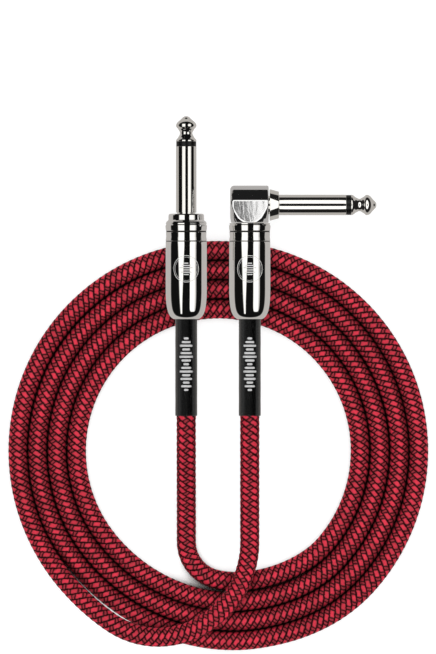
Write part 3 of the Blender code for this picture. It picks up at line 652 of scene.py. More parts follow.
def s_at_y(y, near_start):
    """Path length where a tail passes height y of the page."""
    half = len(PATH) // 2
    if near_start:
        k = np.argmax(PATH[:half, 1] < y)
        return PATH_S[k]
    k = len(PATH) - 1 - np.argmax(PATH[::-1][:half, 1] < y)
    return PATH_S[k]


S_CUT = {k: (s_at_y(SHOULDER_Y - v, True), s_at_y(SHOULDER_Y - v, False)) for k, v in CUT.items()}
S_FLEX = (s_at_y(FLEX_Y - 1.5, True), s_at_y(FLEX_Y - 1.5, False))
RING = LEAD / 12.0          # length of one ring of crossings


def neighbours():
    """For every millimetre of cable, the vectors to the nearest other turn on each side."""
    s = np.arange(0, PATH_S[-1], 1.0)
    c, e1, e2 = path_at(s)
    t = np.cross(e1, e2)
    d = c[None] - c[:, None]
    far = np.linalg.norm(d, axis=2)
    far = np.where(np.abs(s[None] - s[:, None]) < 14.0, 1e9, far)
    side = np.einsum("ijk,ik->ij", d, e1)
    out = []
    for sign in (1, -1):
        k = np.argmin(np.where(side * sign > 0, far, 1e9), axis=1)
        v = d[np.arange(len(s)), k]
        v = v - np.sum(v * t, 1)[:, None] * t
        out.append((v, np.where(side[np.arange(len(s)), k] * sign > 0, far[np.arange(len(s)), k], 1e9)))
    return out


NEAR = neighbours()


def contact_shade(s, radial):
    """Painted shade between the turns of the coil: 1 deep between two turns, 0 in the open."""
    k = np.clip(np.round(s).astype(int), 0, len(NEAR[0][1]) - 1)
    total = np.zeros(len(s))
    for v, dist in NEAR:
        w = np.clip((8.6 - dist[k]) / 2.2, 0, 1)
        n = v[k] / np.maximum(np.linalg.norm(v[k], axis=1), 1e-6)[:, None]
        # the painted shade starts sooner on the right side of each turn than on the left
        start = 0.50 - 0.10 * radial[:, 0]        # the key light stands a little to the left
        x = np.clip((np.sum(n * radial, 1) - start) / (0.95 - start), 0, 1)
        total = np.maximum(total, w * x**1.45)
    return total


def twist(s):
    """How far the sleeve is turned about the cable, in radians, at path lengths s."""
    a = np.clip((s - S_FLEX[0] - 4.0) / 34.0, 0, 1)
    b = np.clip((S_FLEX[1] - 4.0 - s) / 34.0, 0, 1)
    on = a * a * (3 - 2 * a) * b * b * (3 - 2 * b)
    return np.radians(on * (COIL_TWIST + 4.5 * np.sin(s / 41.0 + 1.3) + 2.5 * np.sin(s / 13.7)))


def lump(seed, i, j, amount):
    """A repeatable random number for a crossing, between -amount and amount."""
    x = np.sin(i * 12.9898 + j * 78.233 + seed * 37.719) * 43758.5453
    return (x - np.floor(x) - 0.5) * 2 * amount


def sleeve_radius(a, b):
    """Outside of the weave at the two yarn coordinates."""
    i, j = np.round(a), np.round(b)
    im, dm = np.mod(i, 6), np.round((b + i) / 2)
    jm = np.mod(j, 6)
    fa, fb = a - i + lump(1, im, dm, 0.03), b - j + lump(2, jm, dm, 0.03)
    us = np.cos(np.pi * (b + i))
    uz = -np.cos(np.pi * (a + j))
    qa, qb = fa / RED_HALF, fb / THIN_HALF
    hs = RED_R + RED_WAVE * us + RED_DOME * np.sqrt(np.maximum(1 - qa**2, 0)) + lump(3, im, dm, 0.012)
    hz = THIN_R + THIN_WAVE * uz + THIN_DOME * np.sqrt(np.maximum(1 - qb**2, 0))
    hs = np.where(np.abs(qa) < 1, hs, CORE_R)
    hz = np.where(np.abs(qb) < 1, hz, CORE_R)
    return np.maximum(np.maximum(hs, hz), CORE_R)


def sleeve(name, d0, d1):
    """One length of the woven sleeve: rings of crossings d0 .. d1-1, plus its inner wall."""
    na, nb = len(SUB_A), len(SUB_B)
    oa, ob = np.array(SUB_A), np.array(SUB_B)
    d = np.arange(d0, d1)
    dd, k = np.meshgrid(d, np.arange(6), indexing="ij")
    m = 2 * k + np.mod(dd, 2)                     # i + j, in 0 .. 11
    i, j = (m + dd) // 2, (m - dd) // 2
    ia, ib = np.meshgrid(np.arange(na), np.arange(nb), indexing="ij")
    # four corners of every small quad, as (cell i, cell j, ia, ib)
    ci = i[..., None, None, None]
    cj = j[..., None, None, None]
    a_idx = np.stack([ia, ia + 1, ia + 1, ia], -1)
    b_idx = np.stack([ib, ib, ib + 1, ib + 1], -1)
    gi = ci * na + a_idx[None, None]
    gj = cj * nb + b_idx[None, None]
    gi, gj = np.broadcast_arrays(gi, gj)
    cell_i, sub_i = gi // na, gi % na
    cell_j, sub_j = gj // nb, gj % nb
    ca, cb = cell_i + oa[sub_i], cell_j + ob[sub_j]
    # (a, b) and (a + 6, b + 6) are the same place on the cable
    turn = np.floor((cell_i + cell_j) / 12.0).astype(int)
    key_i, key_j = gi - turn * 6 * na, gj - turn * 6 * nb
    key = (key_i.astype(np.int64) + 4000000) * 10000000 + (key_j.astype(np.int64) + 4000000)
    flat = key.reshape(-1)
    uniq, first, inverse = np.unique(flat, return_index=True, return_inverse=True)
    A = ca.reshape(-1)[first]
    B = cb.reshape(-1)[first]
    p, q = (A + B) / 2, (A - B) / 2
    s = q * LEAD / 6
    phi = p * 2 * math.pi / 6 + twist(s)
    c, e1, e2 = path_at(s)
    r = sleeve_radius(A, B)
    radial = np.cos(phi)[:, None] * e1 + np.sin(phi)[:, None] * e2
    co = c + r[:, None] * radial
    co[:, 2] = np.maximum(co[:, 2], 0.006)        # the soft sleeve lies flat where it rests
    quads = inverse.reshape(dd.shape + (na, nb, 4))
    outer = quads.reshape(-1, 4)
    n_out = len(co)

    # plain inner wall through the cell corners
    corners = np.stack([quads[..., 0, 0, 0], quads[..., 0, -1, 3], quads[..., -1, -1, 2], quads[..., -1, 0, 1]], -1).reshape(-1, 4)
    used = np.unique(corners)
    inner_id = np.full(n_out, -1)
    inner_id[used] = n_out + np.arange(len(used))
    co = np.concatenate([co, (c + SLEEVE_INSIDE * radial)[used]])
    inner = inner_id[corners]

    # end walls: one face from each cell edge of the rim to the inner wall
    heads, tails = outer.reshape(-1), np.roll(outer, -1, axis=1).reshape(-1)
    open_edge = ~np.isin(heads.astype(np.int64) * n_out + tails, tails.astype(np.int64) * n_out + heads)
    after = dict(zip(heads[open_edge].tolist(), tails[open_edge].tolist()))
    walls, rim = [], set()
    for v0 in after:
        if inner_id[v0] < 0:
            continue
        chain = [v0]
        while len(chain) == 1 or inner_id[chain[-1]] < 0:
            rim.add((min(chain[-1], after[chain[-1]]), max(chain[-1], after[chain[-1]])))
            chain.append(after[chain[-1]])
        walls.append(chain[::-1] + [int(inner_id[chain[0]]), int(inner_id[chain[-1]])])

    me = bpy.data.meshes.new(name)
    sizes = np.array([4] * (len(outer) + len(inner)) + [len(w) for w in walls])
    loops = np.concatenate([outer.reshape(-1), inner.reshape(-1), np.array([v for w in walls for v in w])]).astype(np.int32)
    me.vertices.add(len(co))
    me.vertices.foreach_set("co", W(co).astype(np.float32).ravel())
    me.loops.add(len(loops))
    me.loops.foreach_set("vertex_index", loops)
    me.polygons.add(len(sizes))
    me.polygons.foreach_set("loop_start", np.concatenate([[0], np.cumsum(sizes)[:-1]]).astype(np.int32))
    me.update(calc_edges=True)
    me.validate()
    ob_ = bpy.data.objects.new(name, me)
    bpy.context.scene.collection.objects.link(ob_)

    # painted shade between turns, kept per point for the material; the inner wall is painted fully shaded
    valley = me.attributes.new("valley", "FLOAT", "POINT")
    valley.data.foreach_set("value", np.concatenate([contact_shade(s, radial), np.ones(len(used))]).astype(np.float32))
    # yarn coordinates for the material, and an even layout along the cable for baking
    hidden = len(loops) - outer.size
    weave = me.uv_layers.new(name="weave")
    uv = np.stack([ca.reshape(-1), cb.reshape(-1)], 1)
    weave.data.foreach_set("uv", np.concatenate([uv, np.full((hidden, 2), 0.5)]).astype(np.float32).ravel())
    P = (ca + cb) / 2
    Q = (ca - cb) / 2
    rows = max(1, round(math.sqrt((d1 - d0) * RING / 22.0)))
    per = math.ceil((d1 - d0) / rows)
    row = ((dd - d0) // per)[..., None, None, None]
    start = d0 + row * per
    U = np.broadcast_to((Q * 2 - start + 1.5) / (per + 2.0), P.shape).reshape(-1)
    V = ((row + (P + 0.65) / 7.3) / rows * 0.97).reshape(-1)
    spare = np.stack([0.01 + 0.98 * np.arange(hidden) / max(1, hidden - 1), np.full(hidden, 0.985)], 1)
    lay = me.uv_layers.new(name="OFBake")
    lay.data.foreach_set("uv", np.concatenate([np.stack([U, V], 1), spare]).astype(np.float32).ravel())
    me.uv_layers.active = weave
    weave.active_render = True
    me.shade_smooth()
    pairs = np.empty(len(me.edges) * 2, np.int32)
    me.edges.foreach_get("vertices", pairs)
    pairs = np.sort(pairs.reshape(-1, 2), axis=1).astype(np.int64)
    wanted = np.array(sorted(x * 10**7 + y for x, y in rim))
    sharp = me.attributes.new("sharp_edge", "BOOLEAN", "EDGE")
    sharp.data.foreach_set("value", np.isin(pairs[:, 0] * 10**7 + pairs[:, 1], wanted))
    return ob_


def fix_normals(ob):
    """Turns the faces outwards if the first ring points inwards."""
    me = ob.data
    poly = me.polygons[len(me.polygons) // 2]
    v = np.array(poly.center) / MM - np.array([0.0, COIL_Y, 0.0])
    k = np.argmin(np.linalg.norm(PATH - v, axis=1))
    if np.dot(v - PATH[k], np.array(poly.normal)) < 0:
        me.flip_normals()
    return ob


def sweep(name, r_out, r_in, s0, s1, sides, step):
    """A round tube (or wire, with r_in 0) along the cable between two path lengths."""
    n = max(2, int(abs(s1 - s0) / step))
    s = np.linspace(s0, s1, n + 1)
    c, e1, e2 = path_at(s)
    phi = np.arange(sides) * 2 * math.pi / sides

    def ring_points(r):
        return c[:, None] + r * (np.cos(phi)[None, :, None] * e1[:, None] + np.sin(phi)[None, :, None] * e2[:, None])

    def grid(offset):
        k = np.arange(n)[:, None] * sides
        a = np.arange(sides)[None]
        b = (a + 1) % sides
        return np.stack([k + a, k + b, k + sides + b, k + sides + a], -1).reshape(-1, 4) + offset

    verts = [ring_points(r_out).reshape(-1, 3)]
    faces = [grid(0)]
    size = (n + 1) * sides
    if r_in > 0:
        verts.append(ring_points(r_in).reshape(-1, 3))
        faces.append(grid(size)[:, ::-1])
        for ring, flip in ((0, False), (n, True)):
            a = np.arange(sides)
            b = (a + 1) % sides
            o, i = ring * sides, size + ring * sides
            f = np.stack([o + a, i + a, i + b, o + b], -1)
            faces.append(f[:, ::-1] if flip else f)
        ob = mesh_object(name, W(np.concatenate(verts)), np.concatenate(faces))
    else:
        cap0 = tuple(range(sides))[::-1]
        cap1 = tuple(n * sides + k for k in range(sides))
        fs = [tuple(int(x) for x in f) for f in faces[0]] + [cap0, cap1]
        ob = mesh_object(name, W(verts[0]), fs)
    bm = bmesh.new()
    bm.from_mesh(ob.data)
    bmesh.ops.recalc_face_normals(bm, faces=bm.faces)
    bm.to_mesh(ob.data)
    bm.free()
    ob.data.shade_smooth()
    ob.data.set_sharp_from_angle(angle=math.radians(40))
    me = ob.data
    # wrap map: u once round, v in mm along
    co = np.empty(len(me.vertices) * 3, np.float32)
    me.vertices.foreach_get("co", co)
    idx = np.empty(len(me.loops), np.int32)
    me.loops.foreach_get("vertex_index", idx)
    vi = idx % size
    around = (vi % sides) / sides
    along = s[vi // sides]
    # close the seam within each face
    lay = me.uv_layers.new(name="wrap")
    first = np.empty(len(me.polygons), np.int32)
    total = np.empty(len(me.polygons), np.int32)
    me.polygons.foreach_get("loop_start", first)
    me.polygons.foreach_get("loop_total", total)
    owner = np.repeat(np.arange(len(first)), total)
    hi = np.zeros(len(first))
    np.maximum.at(hi, owner, around)
    lo_ = np.ones(len(first))
    np.minimum.at(lo_, owner, around)
    seam = (hi - lo_)[owner] > 0.5
    around = np.where(seam & (around < 0.5) & (total[owner] == 4), around + 1, around)
    lay.data.foreach_set("uv", np.stack([around, along], 1).astype(np.float32).ravel())
    return ob


BODY = {"straight": "straight_plug", "angle": "angle_plug"}


def bend_with(ob, side, mat, slot, *nodes):
    """A tail piece: paints it, hides the CAD nodes it stands for and bakes its placement into its mesh; it rides no
    body.
    """
    ob.data.materials.clear()
    ob.data.materials.append(mat)
    if nodes:
        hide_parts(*nodes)
    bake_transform(ob)
    return ob


def make_sleeve():
    lo = math.ceil(S_CUT["braid"][0] / RING)
    f0 = round(S_FLEX[0] / RING)
    f1 = round(S_FLEX[1] / RING)
    hi = math.floor(S_CUT["braid"][1] / RING)
    bend_with(fix_normals(sleeve("straight_tail_sleeve", lo, f0)), "straight", M["weave"], "braid", "straight_tail_braid")
    bend_with(fix_normals(sleeve("angle_tail_sleeve", f1, hi)), "angle", M["weave"], "braid", "angle_tail_braid")
    cuts = [f0 + round((f1 - f0) * k / 4) for k in range(5)]
    for k in range(4):
        ob = fix_normals(sleeve(f"coil_sleeve_turn_{k + 1}", cuts[k], cuts[k + 1]))
        put(ob, "coil", M["weave"], "braid", "coil_braid")


def make_cores():
    spec = {
        "jacket": (JACKET[0], JACKET[1], 20, 1.6, "jacket", "jacket"),
        "shield": (SHIELD[0], SHIELD[1], 14, 2.0, "shield", "copper"),
        "insulation": (INSULATION[0], INSULATION[1], 12, 2.4, "insulation", "insulation"),
        "conductor": (CONDUCTOR, 0.0, 10, 2.4, "conductor", "copper"),
    }
    for layer, (ro, ri, sides, step, mat, slot) in spec.items():
        a, b = S_CUT[layer]
        bend_with(sweep(f"straight_tail_{layer}_core", ro, ri, a, S_FLEX[0], sides, step * 0.6), "straight", M[mat], slot, f"straight_tail_{layer}")
        bend_with(sweep(f"angle_tail_{layer}_core", ro, ri, S_FLEX[1], b, sides, step * 0.6), "angle", M[mat], slot, f"angle_tail_{layer}")
        put(sweep(f"coil_{layer}_core", ro, ri, S_FLEX[0], S_FLEX[1], sides, step), "coil", M[mat], slot, f"coil_{layer}")


# ------------------------------------------------------------------ plug pieces
def tip_profile(rod_end):
    """Contact tip from its nose to the end of its rod, with the point, ball, waist and flare."""
    T = [
        (30.40, 0.0), (30.385, 0.30), (30.33, 0.56), (30.20, 0.82), (30.00, 1.06), (29.80, 1.27), (29.60, 1.46),
        (29.42, 1.65), (29.24, 1.86), (29.06, 2.07), (28.90, 2.27), (28.72, 2.49), (28.52, 2.70), (28.30, 2.88), (28.06, 3.02),
        (27.80, 3.125), (27.52, 3.175), (27.26, 3.15), (27.04, 3.06), (26.86, 2.93), (26.70, 2.78), (26.57, 2.65), (26.45, 2.555),
        (26.32, 2.475), (26.19, 2.41), (26.06, 2.345), (25.93, 2.27), (25.80, 2.18), (25.67, 2.09), (25.54, 2.02), (25.40, 1.965),
        (25.22, 1.93), (25.02, 1.92), (24.86, 1.94), (24.72, 1.99), (24.58, 2.06), (24.44, 2.14), (24.30, 2.22), (24.17, 2.29),
        (24.04, 2.355), (23.90, 2.425), (23.78, 2.50), (23.64, 2.61), (23.50, 2.73), (23.34, 2.87), (23.18, 3.00), (23.04, 3.09),
        (22.92, 3.145), (22.80, 3.17), (22.68, 3.175), (22.58, 3.175), (22.53, 3.14), (22.51, 3.08),
    ]
    T += [(22.51, ROD_R), (rod_end, ROD_R), (rod_end, 0.0)]
    return T


def sleeve_profile(start, hub):
    """Outside then inside of the plug's shaft, tip end first."""
    end = SHAFT_LEN - 0.12
    p = [(end, 2.25), (end, SHAFT_R)]
    r = [0, 0.08]
    if hub:
        p += [(0.02, SHAFT_R), (0.0, HUB_R2), (HUB_FROM - HUB_TO, HUB_R1), (HUB_FROM - HUB_TO, 2.85), (start, 2.85), (start, 2.25)]
        r += [0.12, 0.14, 0.16, 0, 0.1, 0]
    else:
        p += [(0.35, SHAFT_R), (0.35, 2.85), (start, 2.85), (start, 2.25)]
        r += [0.05, 0, 0.1, 0]
    p.append((end, 2.25))
    r.append(0)
    out = fillet(p, r, 5)
    return densify(out[:-1], 2.0)


THREAD_TOP = -COLLAR_LEN - 0.55


def thread(t, r, ang):
    """A right-hand thread on the collar's neck."""
    if not (-NECK_END + 0.25 < t < THREAD_TOP) or abs(r - NECK_R) > 0.01:
        return np.full(len(ang), r)
    fade = min(1.0, (THREAD_TOP - t) / 0.7, (t + NECK_END - 0.25) / 0.7)
    x = (t + ang / (2 * math.pi)) % 1.0
    tri = np.abs(2 * x - 1)
    tri = np.clip((tri - 0.14) / 0.72, 0, 1)
    return 4.60 + (1 - fade) * 0.10 + (0.52 * fade) * tri


def collar_points(top, bore):
    if top > -1.0:
        p = [(top, bore), (top, 3.30), (top - 0.10, 3.45), (top - 0.10, 4.85), (top - 0.02, 5.05), (top - 0.14, 5.34), (-0.50, 5.52), (-1.95, 5.56)]
        r = [0, 0.05, 0.05, 0.06, 0.10, 0.14, 0.2, 0.10]
        p += [(-2.18, 5.72), (-2.44, 6.10), (-2.96, 6.37)]
        r += [0.05, 0.05, 0.03]
    else:
        p = [(top, bore), (top, 6.10), (top - 0.10, 6.30)]
        r = [0, 0.06, 0.06]
    p += [(-3.02, 6.38), (-3.29, 6.24), (-3.33, 6.24), (-3.64, 6.42), (-3.95, 6.47), (-4.55, 6.42), (-5.26, 6.335)]
    r += [0.02, 0.02, 0.02, 0.04, 0.3, 0.3, 0.02]
    p += [(-5.54, 6.19), (-5.58, 6.19), (-5.85, 6.32)]
    r += [0.02, 0.02, 0.02]
    p += [(-7.15, 6.25), (-7.70, 6.33), (-COLLAR_LEN + 0.40, 6.39), (-COLLAR_LEN + 0.21, 6.39), (-COLLAR_LEN + 0.01, 6.29)]
    r += [0.5, 0.5, 0.1, 0.02, 0.02]
    p += [(-COLLAR_LEN, NECK_R)]
    r += [0]
    out = fillet(p, r, 4)
    neck = [(-COLLAR_LEN - 0.02, 4.62), (-COLLAR_LEN - 0.40, 4.62)]
    t = THREAD_TOP
    while t > -NECK_END + 0.2:
        neck.append((t, NECK_R))
        t -= 0.10
    neck += [(-NECK_END + 0.2, 4.70), (-NECK_END, 4.45), (-NECK_END, bore)]
    return out[:-1] + [(-COLLAR_LEN, 6.2), (-COLLAR_LEN, 4.75)] + neck


def shell_profile():
    """Screw-on shell: straight barrel, long dome, rolled rim at the mouth."""
    top = -(COLLAR_LEN + 0.03)
    p = [(top, 5.32), (top, 6.30), (top - 0.20, 6.40)]
    for t, r in ((-23.75, 6.40), (-24.8, 6.385), (-25.9, 6.35), (-27.0, 6.285), (-27.9, 6.205), (-28.8, 6.085), (-29.6, 5.94),
                 (-30.3, 5.765), (-30.9, 5.56), (-31.4, 5.33), (-31.8, 5.09), (-32.1, 4.86), (-32.34, 4.62), (-32.54, 4.37),
                 (-32.69, 4.13), (-32.79, 3.93), (-32.83, 3.82)):
        p.append((t, r))
    p += [(-32.82, 3.77), (-32.74, 3.75), (-32.3, 3.75)]
    p += [(-31.8, 4.35), (-31.2, 4.75), (-30.2, 5.15), (-28.8, 5.42), (-27.0, 5.58), (-25.0, 5.65), (-23.0, 5.65)]
    p += [(-16.0, 5.65), (-15.4, 5.30)]
    p += [(top - 0.5, 5.30)]
    return densify(p, 1.6)


def boot_profile():
    p = [(-BOOT_FROM, 3.20), (-BOOT_FROM, 3.42)]
    # the mouth of the shell squeezes it a little, then faint ribs, then plain
    t = -33.0
    p.append((t, 3.44))
    while t > -BOOT_TO + 0.9:
        t -= 0.25
        k = smooth((t + 39.5) / 4.5) * 0.9 + 0.1
        w = 0.022 * k * math.cos(2 * math.pi * (-t - 33.0) / 1.05) + 0.010 * math.sin(t * 0.9)
        p.append((t, 3.425 + w))
    p += [(-BOOT_TO + 0.35, 3.43), (-BOOT_TO + 0.16, 3.41), (-BOOT_TO + 0.04, 3.36), (-BOOT_TO, 3.28), (-BOOT_TO, 3.20)]
    return p


def strip_mesh(parts_, name, x0, radius, lift):
    """parts_: list of (grid of (u, v) points as rows). Each grid becomes a thin closed slab
    wrapped on the barrel."""
    verts, faces = [], []
    for grid in parts_:
        g = np.array(grid, float)            # rows, cols, 2
        ring = np.allclose(g[:, 0], g[:, -1])
        if ring:
            g = g[:, :-1]                    # it closes on itself and has no end faces
        R_, C_ = g.shape[:2]
        base = len(verts)
        for h in (lift, -0.06):
            for row in g:
                for u, v in row:
                    a = u / radius
                    rr = radius + h
                    verts.append((x0 + rr * math.sin(a), v, PLUG_Z + rr * math.cos(a)))
        n = R_ * C_

        def vid(layer, r, c):
            return base + layer * n + r * C_ + c % C_
        span = C_ if ring else C_ - 1
        for r in range(R_ - 1):
            for c in range(span):
                faces.append((vid(0, r, c), vid(0, r, c + 1), vid(0, r + 1, c + 1), vid(0, r + 1, c)))
                faces.append((vid(1, r + 1, c), vid(1, r + 1, c + 1), vid(1, r, c + 1), vid(1, r, c)))
        for c in range(span):
            faces.append((vid(1, 0, c), vid(1, 0, c + 1), vid(0, 0, c + 1), vid(0, 0, c)))
            faces.append((vid(0, R_ - 1, c), vid(0, R_ - 1, c + 1), vid(1, R_ - 1, c + 1), vid(1, R_ - 1, c)))
        for r in range(0 if ring else R_ - 1):
            faces.append((vid(0, r, 0), vid(0, r + 1, 0), vid(1, r + 1, 0), vid(1, r, 0)))
            faces.append((vid(1, r, C_ - 1), vid(1, r + 1, C_ - 1), vid(0, r + 1, C_ - 1), vid(0, r, C_ - 1)))
    ob = mesh_object(name, W(verts), faces, smooth=False)
    bm = bmesh.new()
    bm.from_mesh(ob.data)
    bmesh.ops.recalc_face_normals(bm, faces=bm.faces)
    bm.to_mesh(ob.data)
    bm.free()
    ob.data.shade_smooth()
    ob.data.set_sharp_from_angle(angle=math.radians(30))
    return ob


def bar(u0, u1, v0, v1, nu=6, round_=0.25):
    """A bar with rounded ends, as a grid: u across, v along."""
    rows = []
    half = (v1 - v0) / 2
    mid = (v0 + v1) / 2
    for k in range(7):
        q = -1 + 2 * k / 6
        inset = half * (1 - math.sqrt(max(0.0, 1 - q * q * 0.96)))
        rows.append([(u0 + inset + (u1 - u0 - 2 * inset) * c / (nu - 1), mid + q * half) for c in range(nu)])
    return rows


def annulus(cx, cy, r0, r1, n=72):
    return [[(cx + r * math.cos(2 * math.pi * k / n), cy + r * math.sin(2 * math.pi * k / n)) for k in range(n + 1)] for r in (r0, (r0 + r1) / 2, r1)]


WAVE = [0.34, 0.62, 0.92, 0.55, 0.80, 1.00, 0.66, 0.38, 0.70, 0.95, 0.58, 0.84, 0.46, 0.72, 0.30]


def boot_marks(side, x):
    """Printed level bars along the boot, in place of lettering."""
    grids = []
    y_top = 35.78
    pitch = 17.2 / 15
    for k, h in enumerate(WAVE):
        y = y_top - pitch * (k + 0.5)
        u = 2.3 * h
        grids.append(bar(-u, u, y - pitch * 0.29, y + pitch * 0.29, nu=9))
    ob = strip_mesh(grids, f"{side}_boot_print", x, 3.46, 0.012)
    put(ob, BODY[side], M["print"], "boot")


def shell_badge(side, x):
    """A ring and a short level motif etched on the shell."""
    cy = 56.84
    grids = [annulus(0, cy, 4.02, 4.20), annulus(0, cy, 3.58, 3.66)]
    for k, h in enumerate((0.35, 0.7, 1.0, 0.55, 0.85, 0.4)):
        y = cy + 1.75 - 0.7 * k
        grids.append(bar(-2.1 * h, 2.1 * h, y - 0.16, y + 0.16, nu=8))
    ob = strip_mesh(grids, f"{side}_shell_etching", x, SHELL_R, 0.018)
    put(ob, f"{side}_shell_barrel", M["etch"], "dark_chrome")


def make_barrel(side, x):
    body = BODY[side]
    o = (x, SHOULDER_Y, PLUG_Z)
    top = 0.0 if side == "straight" else HEAD_FOOT - CLEAR * 0.35
    put(lathe(f"{side}_collar_ring", collar_points(top, 3.15), o, AX_Y, 112, change=thread), body, M["collar"], "dark_chrome", f"{side}_collar")
    put(lathe(f"{side}_shell_barrel_skin", shell_profile(), o, AX_Y, 128), f"{side}_shell_barrel", M["shell"], "dark_chrome", f"{side}_shell")
    put(lathe(f"{side}_boot_sleeve", boot_profile(), o, AX_Y, 72), body, M["boot"], "boot", f"{side}_boot")
    put(lathe(f"{side}_liner_tube", [(-16.0, 4.85), (-16.0, 5.15), (-26.5, 5.15), (-26.5, 4.85)], o, AX_Y, 72), f"{side}_liner_carrier", M["liner"], "liner", f"{side}_liner")
    boot_marks(side, x)
    shell_badge(side, x)


def make_jack(side, origin, axes, rod_end, start, hub, mat):
    body = BODY[side]
    put(lathe(f"{side}_tip_contact", tip_profile(rod_end), origin, axes, 96, closed=False, sharp=50), body, mat, "nickel", f"{side}_tip")
    ringp = [(22.48, ROD_R + CLEAR), (22.48, 3.04), (22.43, 3.12), (21.06, 3.12), (21.01, 3.04), (21.01, ROD_R + CLEAR)]
    put(lathe(f"{side}_insulating_ring", ringp, origin, axes, 96), body, M["ring"], "black_plastic", f"{side}_tip_ring")
    put(lathe(f"{side}_shaft", sleeve_profile(start, hub), origin, axes, 96), body, mat, "nickel", f"{side}_sleeve")


# ------------------------------------------------------------------ angle head
def head_outline():
    """Half outline in the plane across the shaft: (v up from the shaft axis, w half depth)."""
    pts = [(-12.0, 6.2), (1.05, 6.2)]
    v, w = 1.2, 6.2
    pts.append((1.14, 6.185))
    n = 16
    span = 3.45
    for k in range(n):
        tilt = math.radians(29 + (46 - 29) * (k + 0.5) / n)
        v += span / n
        w -= math.tan(tilt) * span / n
        pts.append((v, w))
    # round top that ends level at the mid plane
    tilt = math.radians(47)
    rho = w / math.cos(tilt)
    vc = v - rho * math.sin(tilt)
    for k in range(1, 21):
        t = tilt + (math.pi / 2 - tilt) * k / 20
        pts.append((vc + rho * math.sin(t), rho * math.cos(t)))
    return np.array(pts)


HEAD_OUT = head_outline()


def d_outline(v, w):
    """Signed distance to the head's outline, negative inside."""
    w = np.abs(w)
    best = np.full(v.shape, 1e9)
    sign = np.full(v.shape, -1.0)
    P0, P1 = HEAD_OUT[:-1], HEAD_OUT[1:]
    for (ax_, ay_), (bx_, by_) in zip(P0, P1):
        dx, dy = bx_ - ax_, by_ - ay_
        L2 = dx * dx + dy * dy
        t = np.clip(((v - ax_) * dx + (w - ay_) * dy) / L2, 0, 1)
        px, py = ax_ + t * dx, ay_ + t * dy
        d = np.hypot(v - px, w - py)
        side = (v - px) * (-dy) + (w - py) * dx
        # outside is to the left of the direction of travel
        closer = d < best - 1e-12
        best = np.where(closer, d, best)
        sign = np.where(closer, np.where(side > 0, 1.0, -1.0), sign)
    return best * sign


ENV = [(16.0, 9.2), (4.4, 9.2), (-1.6, 7.05), (-2.8, 6.33), (-4.0, 5.6)]


def d_envelope(y, r):
    out = np.full(y.shape, -1e9)
    for (y0, r0), (y1, r1) in zip(ENV, ENV[1:]):
        dy, dr = y1 - y0, r1 - r0
        L = math.hypot(dy, dr)
        n_y, n_r = dr / L, -dy / L       # outward: away from the axis
        if n_r < 0:
            n_y, n_r = -n_y, -n_r
        out = np.maximum(out, (y - y0) * n_y + (r - r0) * n_r)
    return out


def round_and(a, b, rho):
    u, v = np.maximum(a + rho, 0), np.maximum(b + rho, 0)
    return np.minimum(np.maximum(a + rho, b + rho), 0) + np.sqrt(u * u + v * v) - rho


def head_field(p):
    """Negative inside the head. p: (..., 3) about the barrel axis, y from the shoulder."""
    x, y, z = p[..., 0], p[..., 1], p[..., 2]
    a = d_outline(y - HEAD_AXIS, z)
    e = d_envelope(y, np.hypot(x, z))
    f = round_and(a, e, 0.26)
    left = round_and(f, -x - 6.10, 1.25)
    right = round_and(f, x - 5.86, 0.42)
    f = np.where(x < 0, left, right)
    return round_and(f, HEAD_FOOT - y, 0.12)


